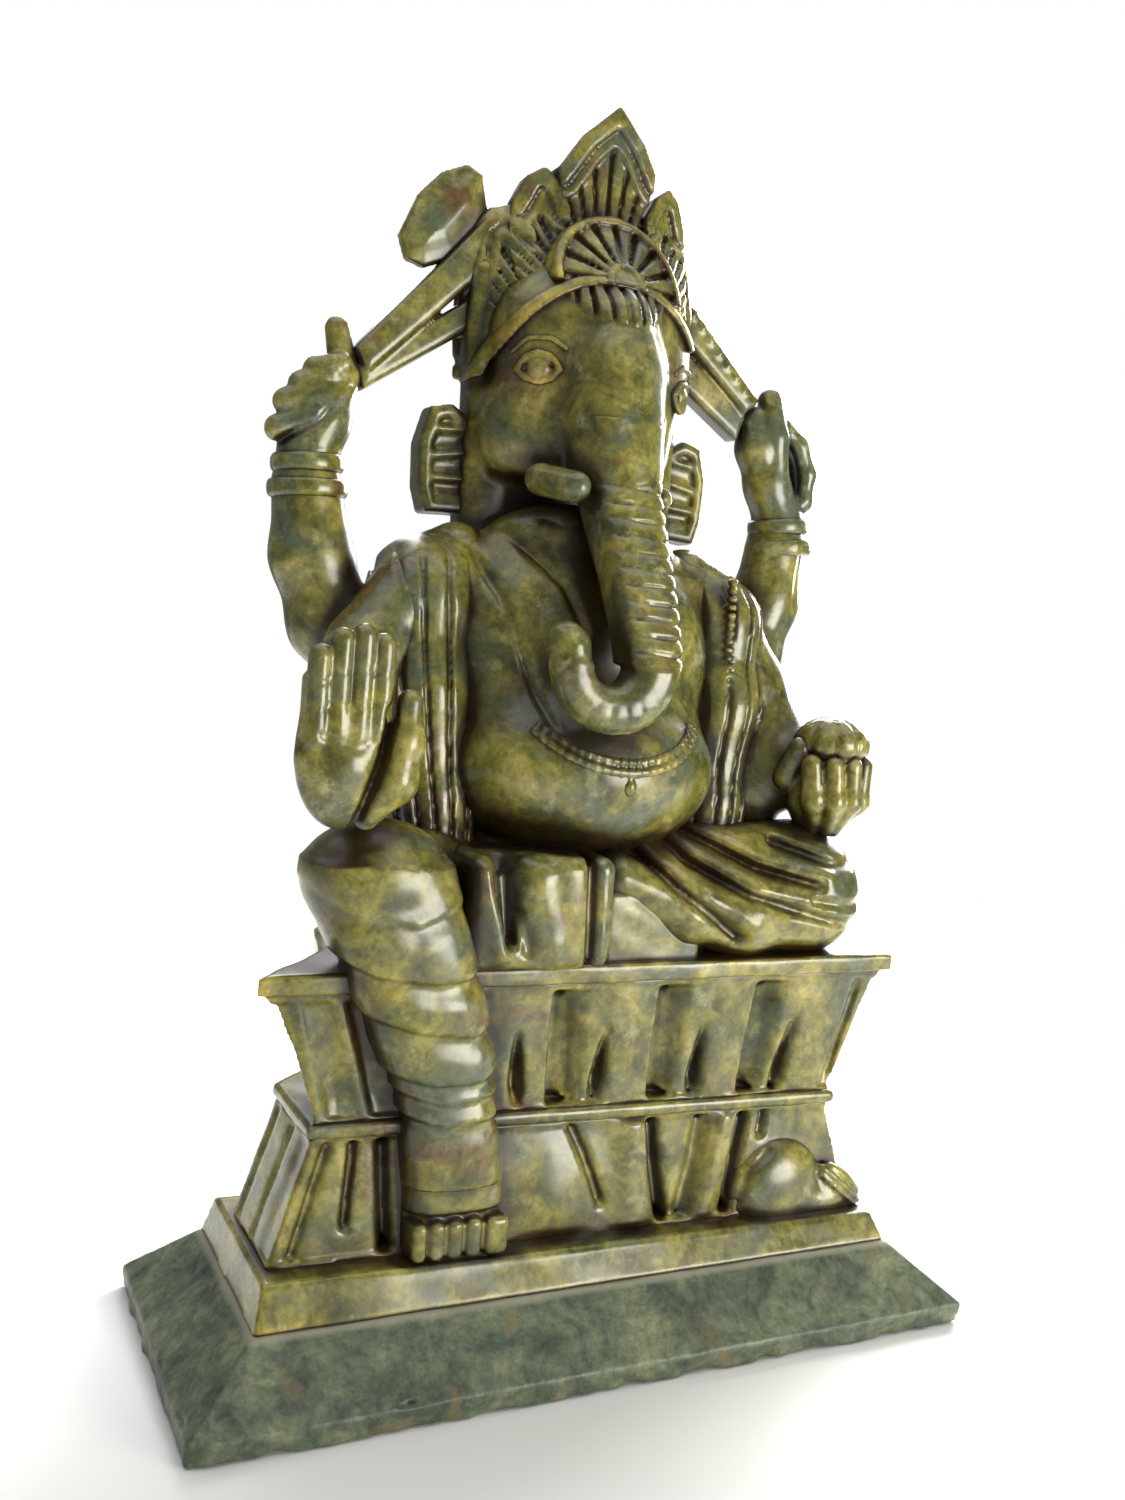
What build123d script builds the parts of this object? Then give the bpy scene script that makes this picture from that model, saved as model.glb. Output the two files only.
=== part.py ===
"""Seated four-armed elephant-headed idol on a flared throne, plinth and base slab, carved in soapstone.

Millimetres, +Z up, origin at the centre of the base slab's underside. The figure faces -Y.
"right" and "left" in piece names are the figure's own sides: its right side is -X.
"""
from build123d import *
import os

RIGHT = -1
LEFT = 1

# Base slab: a flat stone with a low upright edge and four sloping sides
BASE_WIDTH = 200.0
BASE_DEPTH = 83.4
BASE_EDGE_HEIGHT = 5.4
BASE_TOP_Z = 18.6

# Plinth: the foot of the carved block
PLINTH_WIDTH = 168.2
PLINTH_DEPTH = 55.8
PLINTH_TOP_WIDTH = 164.0
PLINTH_TOP_DEPTH = 47.8
PLINTH_TOP_Z = 28.2

# Throne: two tiers that meet in a narrow waist band, and a seat slab on top
WAIST_Z = 56.0
WAIST_BAND_HEIGHT = 3.6
TIER_TOP_Z = 89.4
SEAT_Z = 93.8
FOOT_HALF_WIDTH = 80.0
WAIST_HALF_WIDTH = 70.8
BAND_OVERHANG = 1.4
TOP_HALF_WIDTH = 84.0
SEAT_HALF_WIDTH = 86.0
FOOT_FRONT_Y = -17.5
WAIST_FRONT_Y = -15.3
TOP_FRONT_Y = -16.8
SEAT_FRONT_Y = -18.4
THRONE_BACK_Y = 29.0
FOOT_BACK_Y = 22.5

# Figure: main heights and depths
NECK_Z = 197.0
BROW_Z = 255.0
BAND_TOP_Z = 259.0
TIP_Z = 304.7
ARM_PLANE_Y = 29.0
ARM_RADIUS = 8.6
BRACELET_Z = 200.0
BRACELET_HEIGHT = 10.0
HAND_THICKNESS = 10.0
ROD_THICKNESS = 6.0
PETAL_THICKNESS = 9.0
EAR_THICKNESS = 7.0


def save(builder, name):
    """Label one finished piece and write it as its own file."""
    builder.part.label = name
    export_step(builder.part, f"parts/{name}.step")


def ellipse_stack(sections):
    """Solid lofted upright through level ellipses given as (x, y, z, half width, half depth)."""
    with BuildPart() as stack:
        for x, y, z, half_width, half_depth in sections:
            with BuildSketch(Plane.XY.offset(z)):
                with Locations((x, y)):
                    Ellipse(half_width, half_depth)
        loft()
    return stack.part


def limb(start, end, start_radius, end_radius):
    """Round taper from one joint to the next, with a ball at its far end."""
    axis = Vector(*end) - Vector(*start)
    with BuildPart() as taper:
        with BuildSketch(Plane(origin=start, z_dir=axis)):
            Circle(start_radius)
        with BuildSketch(Plane(origin=end, z_dir=axis)):
            Circle(end_radius)
        loft()
        with Locations(end):
            Sphere(end_radius)
    return taper.part


def ellipse_tube(stations):
    """Solid lofted through upright round sections given as (x, y, z, radius), along a level path."""
    first = Vector(*stations[0][:3])
    last = Vector(*stations[-1][:3])
    with BuildPart() as tube:
        for x, y, z, radius in stations:
            with BuildSketch(Plane(origin=(x, y, z), z_dir=last - first)):
                Circle(radius)
        loft()
    return tube.part


def upright_plate(outline, middle_y, thickness):
    """Plate of even thickness that stands in the X-Z plane."""
    with BuildPart() as plate:
        with BuildSketch(Plane.XZ.offset(-middle_y)):
            with BuildLine():
                Polyline(*outline, close=True)
            make_face()
        extrude(amount=thickness / 2, both=True)
    return plate.part


def plan_polygon(z, points):
    """Level closed outline at height z."""
    with BuildSketch(Plane.XY.offset(z)) as plan:
        with BuildLine():
            Polyline(*points, close=True)
        make_face()
    return plan.sketch


def tier(low_z, low_plan, high_z, high_plan):
    """Throne tier with flat slanted sides between two level outlines."""
    with BuildPart() as block:
        loft([plan_polygon(low_z, low_plan), plan_polygon(high_z, high_plan)], ruled=True)
    return block.part


def throne_plan(half_width, front_y, back_y, side_back_y, corner):
    """Throne outline: square in front, with both rear corners cut off at a slant."""
    return [
        (-half_width, front_y),
        (half_width, front_y),
        (half_width, side_back_y),
        (half_width - corner, back_y),
        (-half_width + corner, back_y),
        (-half_width, side_back_y),
    ]


def seat_plan(half_width, front_y):
    """Seat outline: its rear corner on the figure's right is cut off from the front edge onwards."""
    return [
        (-half_width, front_y),
        (half_width, front_y),
        (half_width + 1.5, 8.0),
        (half_width - 24.0, THRONE_BACK_Y),
        (-half_width + 26.0, THRONE_BACK_Y),
        (-half_width + 20.0, 4.0),
    ]


os.makedirs("parts", exist_ok=True)

# ---------------------------------------------------------------- base slab
with BuildPart() as base_slab:
    with BuildSketch():
        Rectangle(BASE_WIDTH, BASE_DEPTH)
    extrude(amount=BASE_EDGE_HEIGHT)
    with BuildSketch(Plane.XY.offset(BASE_EDGE_HEIGHT)):
        Rectangle(BASE_WIDTH, BASE_DEPTH)
    with BuildSketch(Plane.XY.offset(BASE_TOP_Z)):
        Rectangle(PLINTH_WIDTH, PLINTH_DEPTH)
    loft()
save(base_slab, "base_slab")

# ---------------------------------------------------------------- plinth
with BuildPart() as plinth:
    with BuildSketch(Plane.XY.offset(BASE_TOP_Z)):
        Rectangle(PLINTH_WIDTH, PLINTH_DEPTH)
    with BuildSketch(Plane.XY.offset(PLINTH_TOP_Z)):
        Rectangle(PLINTH_TOP_WIDTH, PLINTH_TOP_DEPTH)
    loft()
save(plinth, "plinth")

# ---------------------------------------------------------------- throne
waist_plan = throne_plan(WAIST_HALF_WIDTH, WAIST_FRONT_Y, THRONE_BACK_Y - 2.0, 14.0, 14.0)
foot_plan = throne_plan(FOOT_HALF_WIDTH, FOOT_FRONT_Y, FOOT_BACK_Y, 13.0, 12.0)
with BuildPart() as throne_lower_tier:
    add(tier(PLINTH_TOP_Z, foot_plan, WAIST_Z, waist_plan))
save(throne_lower_tier, "throne_lower_tier")

band_half_width = WAIST_HALF_WIDTH + BAND_OVERHANG
band_plan = throne_plan(band_half_width, WAIST_FRONT_Y - BAND_OVERHANG, THRONE_BACK_Y - 1.0, 14.0, 14.0)
BAND_TOP = WAIST_Z + WAIST_BAND_HEIGHT
with BuildPart() as throne_waist_band:
    add(tier(WAIST_Z, band_plan, BAND_TOP, band_plan))
save(throne_waist_band, "throne_waist_band")

with BuildPart() as throne_upper_tier:
    add(tier(BAND_TOP, waist_plan, TIER_TOP_Z, seat_plan(TOP_HALF_WIDTH, TOP_FRONT_Y)))
save(throne_upper_tier, "throne_upper_tier")

slab_plan = seat_plan(SEAT_HALF_WIDTH, SEAT_FRONT_Y)
with BuildPart() as seat_slab:
    add(tier(TIER_TOP_Z, slab_plan, SEAT_Z, slab_plan))
save(seat_slab, "seat_slab")

# ---------------------------------------------------------------- mouse at the foot of the throne
with BuildPart() as mouse:
    add(ellipse_stack([
        (60.0, -16.5, PLINTH_TOP_Z, 19.5, 7.2),
        (60.0, -16.0, PLINTH_TOP_Z + 9.0, 17.0, 6.6),
        (59.0, -15.0, PLINTH_TOP_Z + 16.0, 11.0, 5.0),
        (58.0, -14.5, PLINTH_TOP_Z + 20.0, 5.0, 2.5),
    ]))
    add(throne_lower_tier.part, mode=Mode.SUBTRACT)
save(mouse, "mouse")

# ---------------------------------------------------------------- torso and the cloths on it
with BuildPart() as torso:
    add(ellipse_stack([
        (0.0, 14.0, SEAT_Z, 38.0, 17.0),
        (0.0, 10.0, 116.0, 38.0, 21.0),
        (0.0, 9.0, 138.0, 39.0, 24.5),
        (0.0, 12.0, 165.0, 40.0, 21.0),
        (0.0, 17.0, 186.0, 44.0, 14.5),
        (0.0, 18.0, NECK_Z, 28.0, 11.0),
    ]))
save(torso, "torso")


def shawl(side):
    """Folded cloth that hangs from one shoulder to the seat."""
    with BuildPart() as cloth:
        add(ellipse_stack([
            (side * 38.0, 16.0, SEAT_Z + 6.0, 12.0, 15.0),
            (side * 39.0, 15.0, 130.0, 13.5, 17.0),
            (side * 42.0, 16.0, 165.0, 13.5, 16.0),
            (side * 43.0, 18.0, 186.0, 12.0, 12.0),
            (side * 40.0, 19.0, 193.5, 8.0, 8.0),
        ]))
        add(torso.part, mode=Mode.SUBTRACT)
    return cloth


right_shawl = shawl(RIGHT)
save(right_shawl, "right_shawl")
left_shawl = shawl(LEFT)
save(left_shawl, "left_shawl")

GARLAND_RADIUS = 2.2
with BuildPart() as bead_garland:
    with BuildLine() as garland_path:
        ThreePointArc((-24.0, -10.5, 151.0), (0.0, -16.6, 139.5), (24.0, -10.5, 151.0))
    with BuildSketch(Plane(origin=garland_path.line @ 0, z_dir=garland_path.line % 0)):
        Circle(GARLAND_RADIUS)
    sweep()
    add(torso.part, mode=Mode.SUBTRACT)
save(bead_garland, "bead_garland")

# ---------------------------------------------------------------- legs
with BuildPart() as hanging_leg:
    add(ellipse_stack([
        (-41.5, -17.0, 44.0, 8.6, 7.5),
        (-44.0, -18.0, 56.0, 9.6, 8.6),
        (-52.0, -19.0, 76.0, 12.0, 10.0),
        (-61.0, -19.0, 100.0, 15.0, 11.0),
        (-65.0, -17.5, 115.0, 16.0, 12.0),
        (-65.0, -15.0, 127.5, 9.0, 8.0),
    ]))
    for neighbour in (throne_lower_tier, throne_waist_band, throne_upper_tier, seat_slab):
        add(neighbour.part, mode=Mode.SUBTRACT)
save(hanging_leg, "hanging_leg")

with BuildPart() as right_thigh:
    add(ellipse_tube([
        (-30.0, 14.0, 111.0, 15.0),
        (-44.0, 6.0, 112.0, 15.0),
        (-60.0, -10.0, 112.0, 13.0),
    ]))
    for neighbour in (seat_slab, torso, right_shawl, hanging_leg):
        add(neighbour.part, mode=Mode.SUBTRACT)
save(right_thigh, "right_thigh")

TOE_COUNT = 5
TOE_RADIUS = 2.7
with BuildPart() as foot:
    with BuildSketch(Plane.XY.offset(PLINTH_TOP_Z)):
        with Locations((-38.5, -15.5)):
            Rectangle(27.0, 11.0)
    with BuildSketch(Plane.XY.offset(44.0)):
        with Locations((-41.5, -15.0)):
            Rectangle(17.0, 10.0)
    loft()
    for toe in range(TOE_COUNT):
        toe_centre = (-49.2 + toe * 5.35, -21.0, PLINTH_TOP_Z + TOE_RADIUS)
        with Locations(Location(toe_centre, (90, 0, 0))):
            Cylinder(TOE_RADIUS, 5.6)
    add(throne_lower_tier.part, mode=Mode.SUBTRACT)
    add(hanging_leg.part, mode=Mode.SUBTRACT)
save(foot, "foot")

with BuildPart() as folded_leg:
    for x, y, z, half_depth, half_height in (
        (2.0, -8.0, 107.0, 10.0, 9.0),
        (24.0, -4.0, 108.0, 17.0, 14.0),
        (52.0, -2.0, 109.0, 20.0, 15.5),
        (70.0, -3.0, 111.0, 15.0, 13.0),
        (78.0, -5.0, 113.0, 7.0, 7.0),
    ):
        with BuildSketch(Plane(origin=(x, y, z), x_dir=(0, 1, 0), z_dir=(1, 0, 0))):
            Ellipse(half_depth, half_height)
    loft()
    for neighbour in (seat_slab, throne_upper_tier, torso, left_shawl):
        add(neighbour.part, mode=Mode.SUBTRACT)
save(folded_leg, "folded_leg")

with BuildPart() as lap_cloth:
    with BuildSketch(Plane.YZ.offset(-18.0)):
        with BuildLine():
            Polyline(
                (-19.5, SEAT_Z),
                (-19.5, 104.0),
                (-13.0, 116.0),
                (-4.0, 120.0),
                (8.0, 120.0),
                (8.0, SEAT_Z),
                close=True,
            )
        make_face()
    extrude(amount=19.0, both=True)
    for neighbour in (hanging_leg, right_thigh, folded_leg, torso, right_shawl):
        add(neighbour.part, mode=Mode.SUBTRACT)
save(lap_cloth, "lap_cloth")

# ---------------------------------------------------------------- raised right hand and its arm
with BuildPart() as right_front_hand:
    add(ellipse_stack([
        (-71.0, -26.0, 129.5, 4.0, 3.5),
        (-71.5, -26.5, 136.0, 10.0, 5.0),
        (-71.0, -26.5, 147.0, 11.5, 5.0),
        (-71.0, -26.0, 154.0, 10.5, 4.2),
    ]))
    for finger, tip_z in enumerate((165.0, 169.0, 170.0, 168.0)):
        with Locations((-78.6 + finger * 5.0, -26.0, (150.0 + tip_z) / 2)):
            Cylinder(2.7, tip_z - 150.0)
    add(limb((-62.5, -29.0, 134.0), (-59.5, -28.0, 154.5), 3.6, 3.0))
    add(hanging_leg.part, mode=Mode.SUBTRACT)
save(right_front_hand, "right_front_hand")

with BuildPart() as right_front_arm:
    add(limb((-48.0, 14.0, 176.0), (-59.0, 8.0, 145.0), 10.0, 9.5))
    add(limb((-59.0, 8.0, 145.0), (-69.0, -19.0, 139.0), 9.5, 6.5))
    for neighbour in (torso, right_shawl, hanging_leg, right_thigh, right_front_hand):
        add(neighbour.part, mode=Mode.SUBTRACT)
save(right_front_arm, "right_front_arm")

# ---------------------------------------------------------------- left hand with a round sweet
BALL_RADIUS = 8.6
with BuildPart() as sweet_ball:
    with Locations((66.0, -8.0, 147.6)):
        Sphere(BALL_RADIUS)
save(sweet_ball, "sweet_ball")

with BuildPart() as left_front_hand:
    add(ellipse_stack([
        (64.0, -8.0, 125.0, 7.0, 6.0),
        (65.0, -8.0, 131.0, 11.0, 9.5),
        (65.5, -8.0, 139.0, 12.0, 10.5),
        (66.0, -8.0, 146.0, 9.0, 8.0),
    ]))
    add(sweet_ball.part, mode=Mode.SUBTRACT)
    add(folded_leg.part, mode=Mode.SUBTRACT)
save(left_front_hand, "left_front_hand")

with BuildPart() as left_front_arm:
    add(limb((47.0, 16.0, 176.0), (58.0, 15.0, 149.0), 10.0, 9.0))
    add(limb((58.0, 15.0, 149.0), (64.0, 0.0, 141.0), 9.0, 7.0))
    for neighbour in (torso, left_shawl, folded_leg, left_front_hand, sweet_ball):
        add(neighbour.part, mode=Mode.SUBTRACT)
save(left_front_arm, "left_front_arm")


# ---------------------------------------------------------------- raised rear arms
def rear_arm(side, front_arm, cloth):
    """Rear arm from the shoulder blade up to the bracelet."""
    with BuildPart() as arm:
        add(ellipse_stack([
            (side * 54.0, ARM_PLANE_Y - 4.0, 160.0, 8.0, 7.0),
            (side * 62.0, ARM_PLANE_Y - 1.0, 172.0, 10.5, ARM_RADIUS),
            (side * 66.5, ARM_PLANE_Y, 186.0, 9.5, ARM_RADIUS),
            (side * 69.0, ARM_PLANE_Y, BRACELET_Z, ARM_RADIUS, ARM_RADIUS - 1.0),
        ]))
        for neighbour in (torso, front_arm, cloth):
            add(neighbour.part, mode=Mode.SUBTRACT)
    return arm


def bracelet(side):
    """Thick band between a rear arm and its hand."""
    with BuildPart() as band:
        with Locations((side * 69.0, ARM_PLANE_Y, BRACELET_Z + BRACELET_HEIGHT / 2)):
            Cylinder(ARM_RADIUS + 0.9, BRACELET_HEIGHT)
    return band


right_rear_arm = rear_arm(RIGHT, right_front_arm, right_shawl)
save(right_rear_arm, "right_rear_arm")
right_rear_bracelet = bracelet(RIGHT)
save(right_rear_bracelet, "right_rear_bracelet")
left_rear_arm = rear_arm(LEFT, left_front_arm, left_shawl)
save(left_rear_arm, "left_rear_arm")
left_rear_bracelet = bracelet(LEFT)
save(left_rear_bracelet, "left_rear_bracelet")

HAND_Z = BRACELET_Z + BRACELET_HEIGHT
with BuildPart() as right_rear_hand:
    add(upright_plate(
        [(-62, HAND_Z), (-57, 227), (-58, 236), (-62, 243), (-66, 241), (-69, 232), (-75, 228), (-79, 220), (-78, HAND_Z)],
        ARM_PLANE_Y,
        HAND_THICKNESS,
    ))
save(right_rear_hand, "right_rear_hand")

with BuildPart() as left_rear_hand:
    add(upright_plate(
        [(60, HAND_Z), (51, 229), (52, 239), (57, 246), (63, 245), (71, 236), (78, 226), (79, 217), (77, HAND_Z)],
        ARM_PLANE_Y,
        HAND_THICKNESS,
    ))
save(left_rear_hand, "left_rear_hand")

# ---------------------------------------------------------------- head
with BuildPart() as head:
    add(ellipse_stack([
        (0.0, 15.0, NECK_Z, 24.0, 13.0),
        (0.0, 14.0, 208.0, 30.0, 19.0),
        (0.0, 14.5, 232.0, 31.0, 20.5),
        (0.0, 18.0, BROW_Z, 29.0, 16.5),
    ]))
save(head, "head")

TRUNK_TURN_Z = 164.0
TRUNK_TURN_RADIUS = 9.5
TRUNK_END_RADIUS = 6.2
TRUNK_FRONT_Y = -23.6
with BuildPart() as trunk:
    for y, z, radius, lean in (
        (-1.0, 214.0, 9.0, 0.15),
        (-7.5, 200.0, 8.0, 0.45),
        (-15.0, 185.0, 7.2, 0.42),
        (-21.0, 172.0, 6.6, 0.25),
        (TRUNK_FRONT_Y, TRUNK_TURN_Z, TRUNK_END_RADIUS, 0.0),
    ):
        with BuildSketch(Plane(origin=(0.5, y, z), x_dir=(1, 0, 0), z_dir=(0, -lean, -1))):
            Circle(radius)
    loft()
    with BuildLine(Plane.XZ.offset(-TRUNK_FRONT_Y)):
        CenterArc((0.5 - TRUNK_TURN_RADIUS, TRUNK_TURN_Z), TRUNK_TURN_RADIUS, 0, -180)
    with BuildSketch(Plane(origin=(0.5, TRUNK_FRONT_Y, TRUNK_TURN_Z), z_dir=(0, 0, -1))):
        Circle(TRUNK_END_RADIUS)
    sweep()
    add(limb(
        (0.5 - 2 * TRUNK_TURN_RADIUS, TRUNK_FRONT_Y, TRUNK_TURN_Z),
        (-2 * TRUNK_TURN_RADIUS - 1.0, TRUNK_FRONT_Y, 169.5),
        TRUNK_END_RADIUS,
        5.0,
    ))
    add(head.part, mode=Mode.SUBTRACT)
    add(torso.part, mode=Mode.SUBTRACT)
save(trunk, "trunk")


def tusk(side):
    """Short round tusk that leaves the cheek beside the trunk."""
    with BuildPart() as stub:
        add(limb((side * 24.0, 2.0, 207.0), (side * 13.0, -11.0, 206.0), 3.8, 3.0))
        add(head.part, mode=Mode.SUBTRACT)
        add(trunk.part, mode=Mode.SUBTRACT)
    return stub


def ear(side):
    """Thick fan-shaped ear that stands out beside the head."""
    with BuildPart() as flap:
        add(upright_plate(
            [(side * 24, 200), (side * 38, 199), (side * 41, 214), (side * 38, 228), (side * 31, 229), (side * 24, 224)],
            ARM_PLANE_Y - 1.0,
            EAR_THICKNESS,
        ))
        add(head.part, mode=Mode.SUBTRACT)
    return flap


def eye(side):
    """Raised oval eye on the side of the brow."""
    with BuildPart() as lens:
        with Locations((side * 24.0, 4.0, 235.0)):
            Sphere(4.0)
        add(head.part, mode=Mode.SUBTRACT)
    return lens


save(tusk(RIGHT), "right_tusk")
save(tusk(LEFT), "left_tusk")
right_ear = ear(RIGHT)
save(right_ear, "right_ear")
left_ear = ear(LEFT)
save(left_ear, "left_ear")
save(eye(RIGHT), "right_eye")
save(eye(LEFT), "left_eye")

# ---------------------------------------------------------------- crown
with BuildPart() as headband:
    add(ellipse_stack([
        (0.0, 18.0, BROW_Z, 31.0, 17.0),
        (0.0, 18.5, BAND_TOP_Z, 31.0, 16.5),
    ]))
save(headband, "headband")

with BuildPart() as crown_core:
    add(ellipse_stack([
        (0.0, 19.0, BAND_TOP_Z, 30.5, 15.0),
        (0.0, 22.0, 275.0, 28.0, 10.0),
        (0.0, 23.0, 288.0, 16.0, 8.0),
    ]))
save(crown_core, "crown_core")

with BuildPart() as crown_front_petal:
    add(upright_plate(
        [(-11, 270), (11, 270), (14, 292), (0, TIP_Z), (-14, 292)],
        20.0,
        PETAL_THICKNESS,
    ))
    add(crown_core.part, mode=Mode.SUBTRACT)
save(crown_front_petal, "crown_front_petal")


def side_petal(side, outline, middle_y, neighbours):
    """Pointed petal beside the front one, cut to fit against its neighbours."""
    with BuildPart() as petal:
        add(upright_plate([(side * x, z) for x, z in outline], middle_y, PETAL_THICKNESS))
        for neighbour in neighbours:
            add(neighbour.part, mode=Mode.SUBTRACT)
    return petal


INNER_OUTLINE = [(8, 268), (25, 268), (26, 280), (20, 290), (8, 284)]
OUTER_OUTLINE = [(18, 262), (32, 262), (33, 270), (29, 280), (18, 276)]
right_inner_petal = side_petal(RIGHT, INNER_OUTLINE, 22.0, [crown_core, crown_front_petal])
save(right_inner_petal, "crown_right_inner_petal")
left_inner_petal = side_petal(LEFT, INNER_OUTLINE, 22.0, [crown_core, crown_front_petal])
save(left_inner_petal, "crown_left_inner_petal")
right_outer_petal = side_petal(RIGHT, OUTER_OUTLINE, 23.0, [crown_core, right_inner_petal])
save(right_outer_petal, "crown_right_outer_petal")
left_outer_petal = side_petal(LEFT, OUTER_OUTLINE, 23.0, [crown_core, left_inner_petal])
save(left_outer_petal, "crown_left_outer_petal")

ARCH_RADIUS = 12.0
with BuildPart() as crown_arch:
    with BuildSketch(Plane.XZ.offset(-8.0)):
        with Locations((0.0, BAND_TOP_Z)):
            Circle(ARCH_RADIUS)
        with Locations((0.0, BAND_TOP_Z - ARCH_RADIUS / 2)):
            Rectangle(2 * ARCH_RADIUS, ARCH_RADIUS, mode=Mode.SUBTRACT)
    extrude(amount=5.0, both=True)
    add(crown_core.part, mode=Mode.SUBTRACT)
save(crown_arch, "crown_arch")

# ---------------------------------------------------------------- things held by the rear hands
crown_parts = (headband, crown_core, right_inner_petal, right_outer_petal, left_inner_petal, left_outer_petal)
with BuildPart() as axe_handle:
    add(upright_plate(
        [(-58, 228), (-59, 236), (-40, 261), (-26, 272), (-24, 262), (-32, 248)],
        ARM_PLANE_Y,
        ROD_THICKNESS,
    ))
    for neighbour in (right_rear_hand, head, *crown_parts):
        add(neighbour.part, mode=Mode.SUBTRACT)
save(axe_handle, "axe_handle")

with BuildPart() as axe_blade:
    add(upright_plate(
        [(-30, 274), (-29, 284), (-39, 284), (-47, 277), (-51, 265), (-48, 260), (-40, 261)],
        ARM_PLANE_Y,
        ROD_THICKNESS + 1.0,
    ))
    for neighbour in (axe_handle, *crown_parts):
        add(neighbour.part, mode=Mode.SUBTRACT)
save(axe_blade, "axe_blade")

with BuildPart() as goad_handle:
    add(upright_plate(
        [(52, 230), (53, 240), (28, 264), (22, 262), (26, 250)],
        ARM_PLANE_Y,
        ROD_THICKNESS,
    ))
    for neighbour in (left_rear_hand, head, *crown_parts):
        add(neighbour.part, mode=Mode.SUBTRACT)
save(goad_handle, "goad_handle")
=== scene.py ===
import math

import bpy
import numpy as np
import openvdb
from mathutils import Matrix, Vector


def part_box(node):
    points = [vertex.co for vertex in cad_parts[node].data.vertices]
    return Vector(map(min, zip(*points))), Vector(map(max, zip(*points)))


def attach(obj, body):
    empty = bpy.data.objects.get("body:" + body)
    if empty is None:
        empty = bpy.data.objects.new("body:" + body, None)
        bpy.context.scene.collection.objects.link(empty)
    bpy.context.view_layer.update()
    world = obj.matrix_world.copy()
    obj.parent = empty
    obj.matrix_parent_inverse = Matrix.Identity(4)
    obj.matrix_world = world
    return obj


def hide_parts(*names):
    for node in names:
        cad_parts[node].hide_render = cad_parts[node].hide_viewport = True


# Looks of the carved soapstone idol: every CAD node is replaced by a sculpted stone piece.
# The pieces are carved as signed distances on one shared lattice, in millimetres in the CAD frame, so that
# neighbours melt into each other as one stone. The figure faces -Y and its right side is -X.

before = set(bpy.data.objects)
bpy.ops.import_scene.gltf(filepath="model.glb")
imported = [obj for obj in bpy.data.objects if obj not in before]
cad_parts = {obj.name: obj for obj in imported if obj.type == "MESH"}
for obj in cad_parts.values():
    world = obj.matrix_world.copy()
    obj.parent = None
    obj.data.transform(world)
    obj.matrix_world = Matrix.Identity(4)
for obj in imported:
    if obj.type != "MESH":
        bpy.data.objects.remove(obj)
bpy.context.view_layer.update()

MM = 0.001  # metres in a millimetre
VOXEL = 0.7  # spacing of the lattice
REACH = 9.0  # how far a piece may spread past its CAD node
SKIN = 3.0  # voxels kept on each side of a surface
FAR = 50.0  # distance that stands for nothing near
BACK_Y = 35.5  # the flat back of the carving

PIECES = {}  # name: distance function, softness and reach


def carved(softness, reach=REACH):
    """Registers a piece under its function's name: how softly it joins the rest, how far it may spread."""
    def register(shape):
        PIECES[shape.__name__] = (shape, softness, reach)
        return shape
    return register


# ---- grid and distance tools
class Grid:
    """Coordinates x, y and z, in millimetres, of the lattice points in one box."""

    def __init__(self, first, count):
        self.first = first
        self.count = count
        spans = [((start + np.arange(size)) * VOXEL).astype(np.float32) for start, size in zip(first, count)]
        self.x, self.y, self.z = np.ix_(*spans)

    def where(self):
        """Slices of this box in the whole lattice."""
        starts = np.subtract(self.first, ORIGIN)
        return tuple(slice(start, start + size) for start, size in zip(starts, self.count))


class Moved:
    """The same points in another frame."""

    def __init__(self, x, y, z):
        self.x, self.y, self.z = x, y, z


def mirrored(g):
    """The same points with the figure's right and left exchanged."""
    return Moved(-g.x, g.y, g.z)


def turned(g, centre, yaw=0.0, roll=0.0):
    """Points seen from a frame at centre, turned about Z by yaw, then about Y by roll (degrees)."""
    x, y, z = g.x - centre[0], g.y - centre[1], g.z - centre[2]
    c, s = math.cos(math.radians(yaw)), math.sin(math.radians(yaw))
    x, y = c * x + s * y, c * y - s * x
    c, s = math.cos(math.radians(roll)), math.sin(math.radians(roll))
    x, z = c * x - s * z, c * z + s * x
    return Moved(x, y, z)


def length(*parts):
    return np.sqrt(sum(part * part for part in parts))


def melt(a, b, radius):
    """Union with a soft fillet."""
    h = np.clip(0.5 + 0.5 * (b - a) / radius, 0.0, 1.0)
    return b + (a - b) * h - radius * h * (1.0 - h)


def keep(a, b, radius=0.4):
    """Intersection with a soft edge."""
    return -melt(-a, -b, radius)


def cut(a, b, radius=0.6):
    """a without b, with a soft edge."""
    return -melt(-a, b, radius)


def egg(g, centre, radii):
    """Ellipsoid."""
    u, v, w = g.x - centre[0], g.y - centre[1], g.z - centre[2]
    a, b, c = radii
    k = length(u / a, v / b, w / c)
    m = length(u / a**2, v / b**2, w / c**2)
    return k * (k - 1.0) / np.maximum(m, 1e-4)


def bone(g, start, end, start_radius, end_radius=None):
    """Round taper between two points."""
    end_radius = start_radius if end_radius is None else end_radius
    u, v, w = g.x - start[0], g.y - start[1], g.z - start[2]
    a, b, c = end[0] - start[0], end[1] - start[1], end[2] - start[2]
    t = np.clip((u * a + v * b + w * c) / (a * a + b * b + c * c), 0.0, 1.0)
    return length(u - a * t, v - b * t, w - c * t) - (start_radius + (end_radius - start_radius) * t)


def chain(g, stations, radius=1.5):
    """Limb through stations given as (x, y, z, radius)."""
    body = None
    for start, end in zip(stations, stations[1:]):
        link = bone(g, start[:3], end[:3], start[3], end[3])
        body = link if body is None else melt(body, link, radius)
    return body


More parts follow.
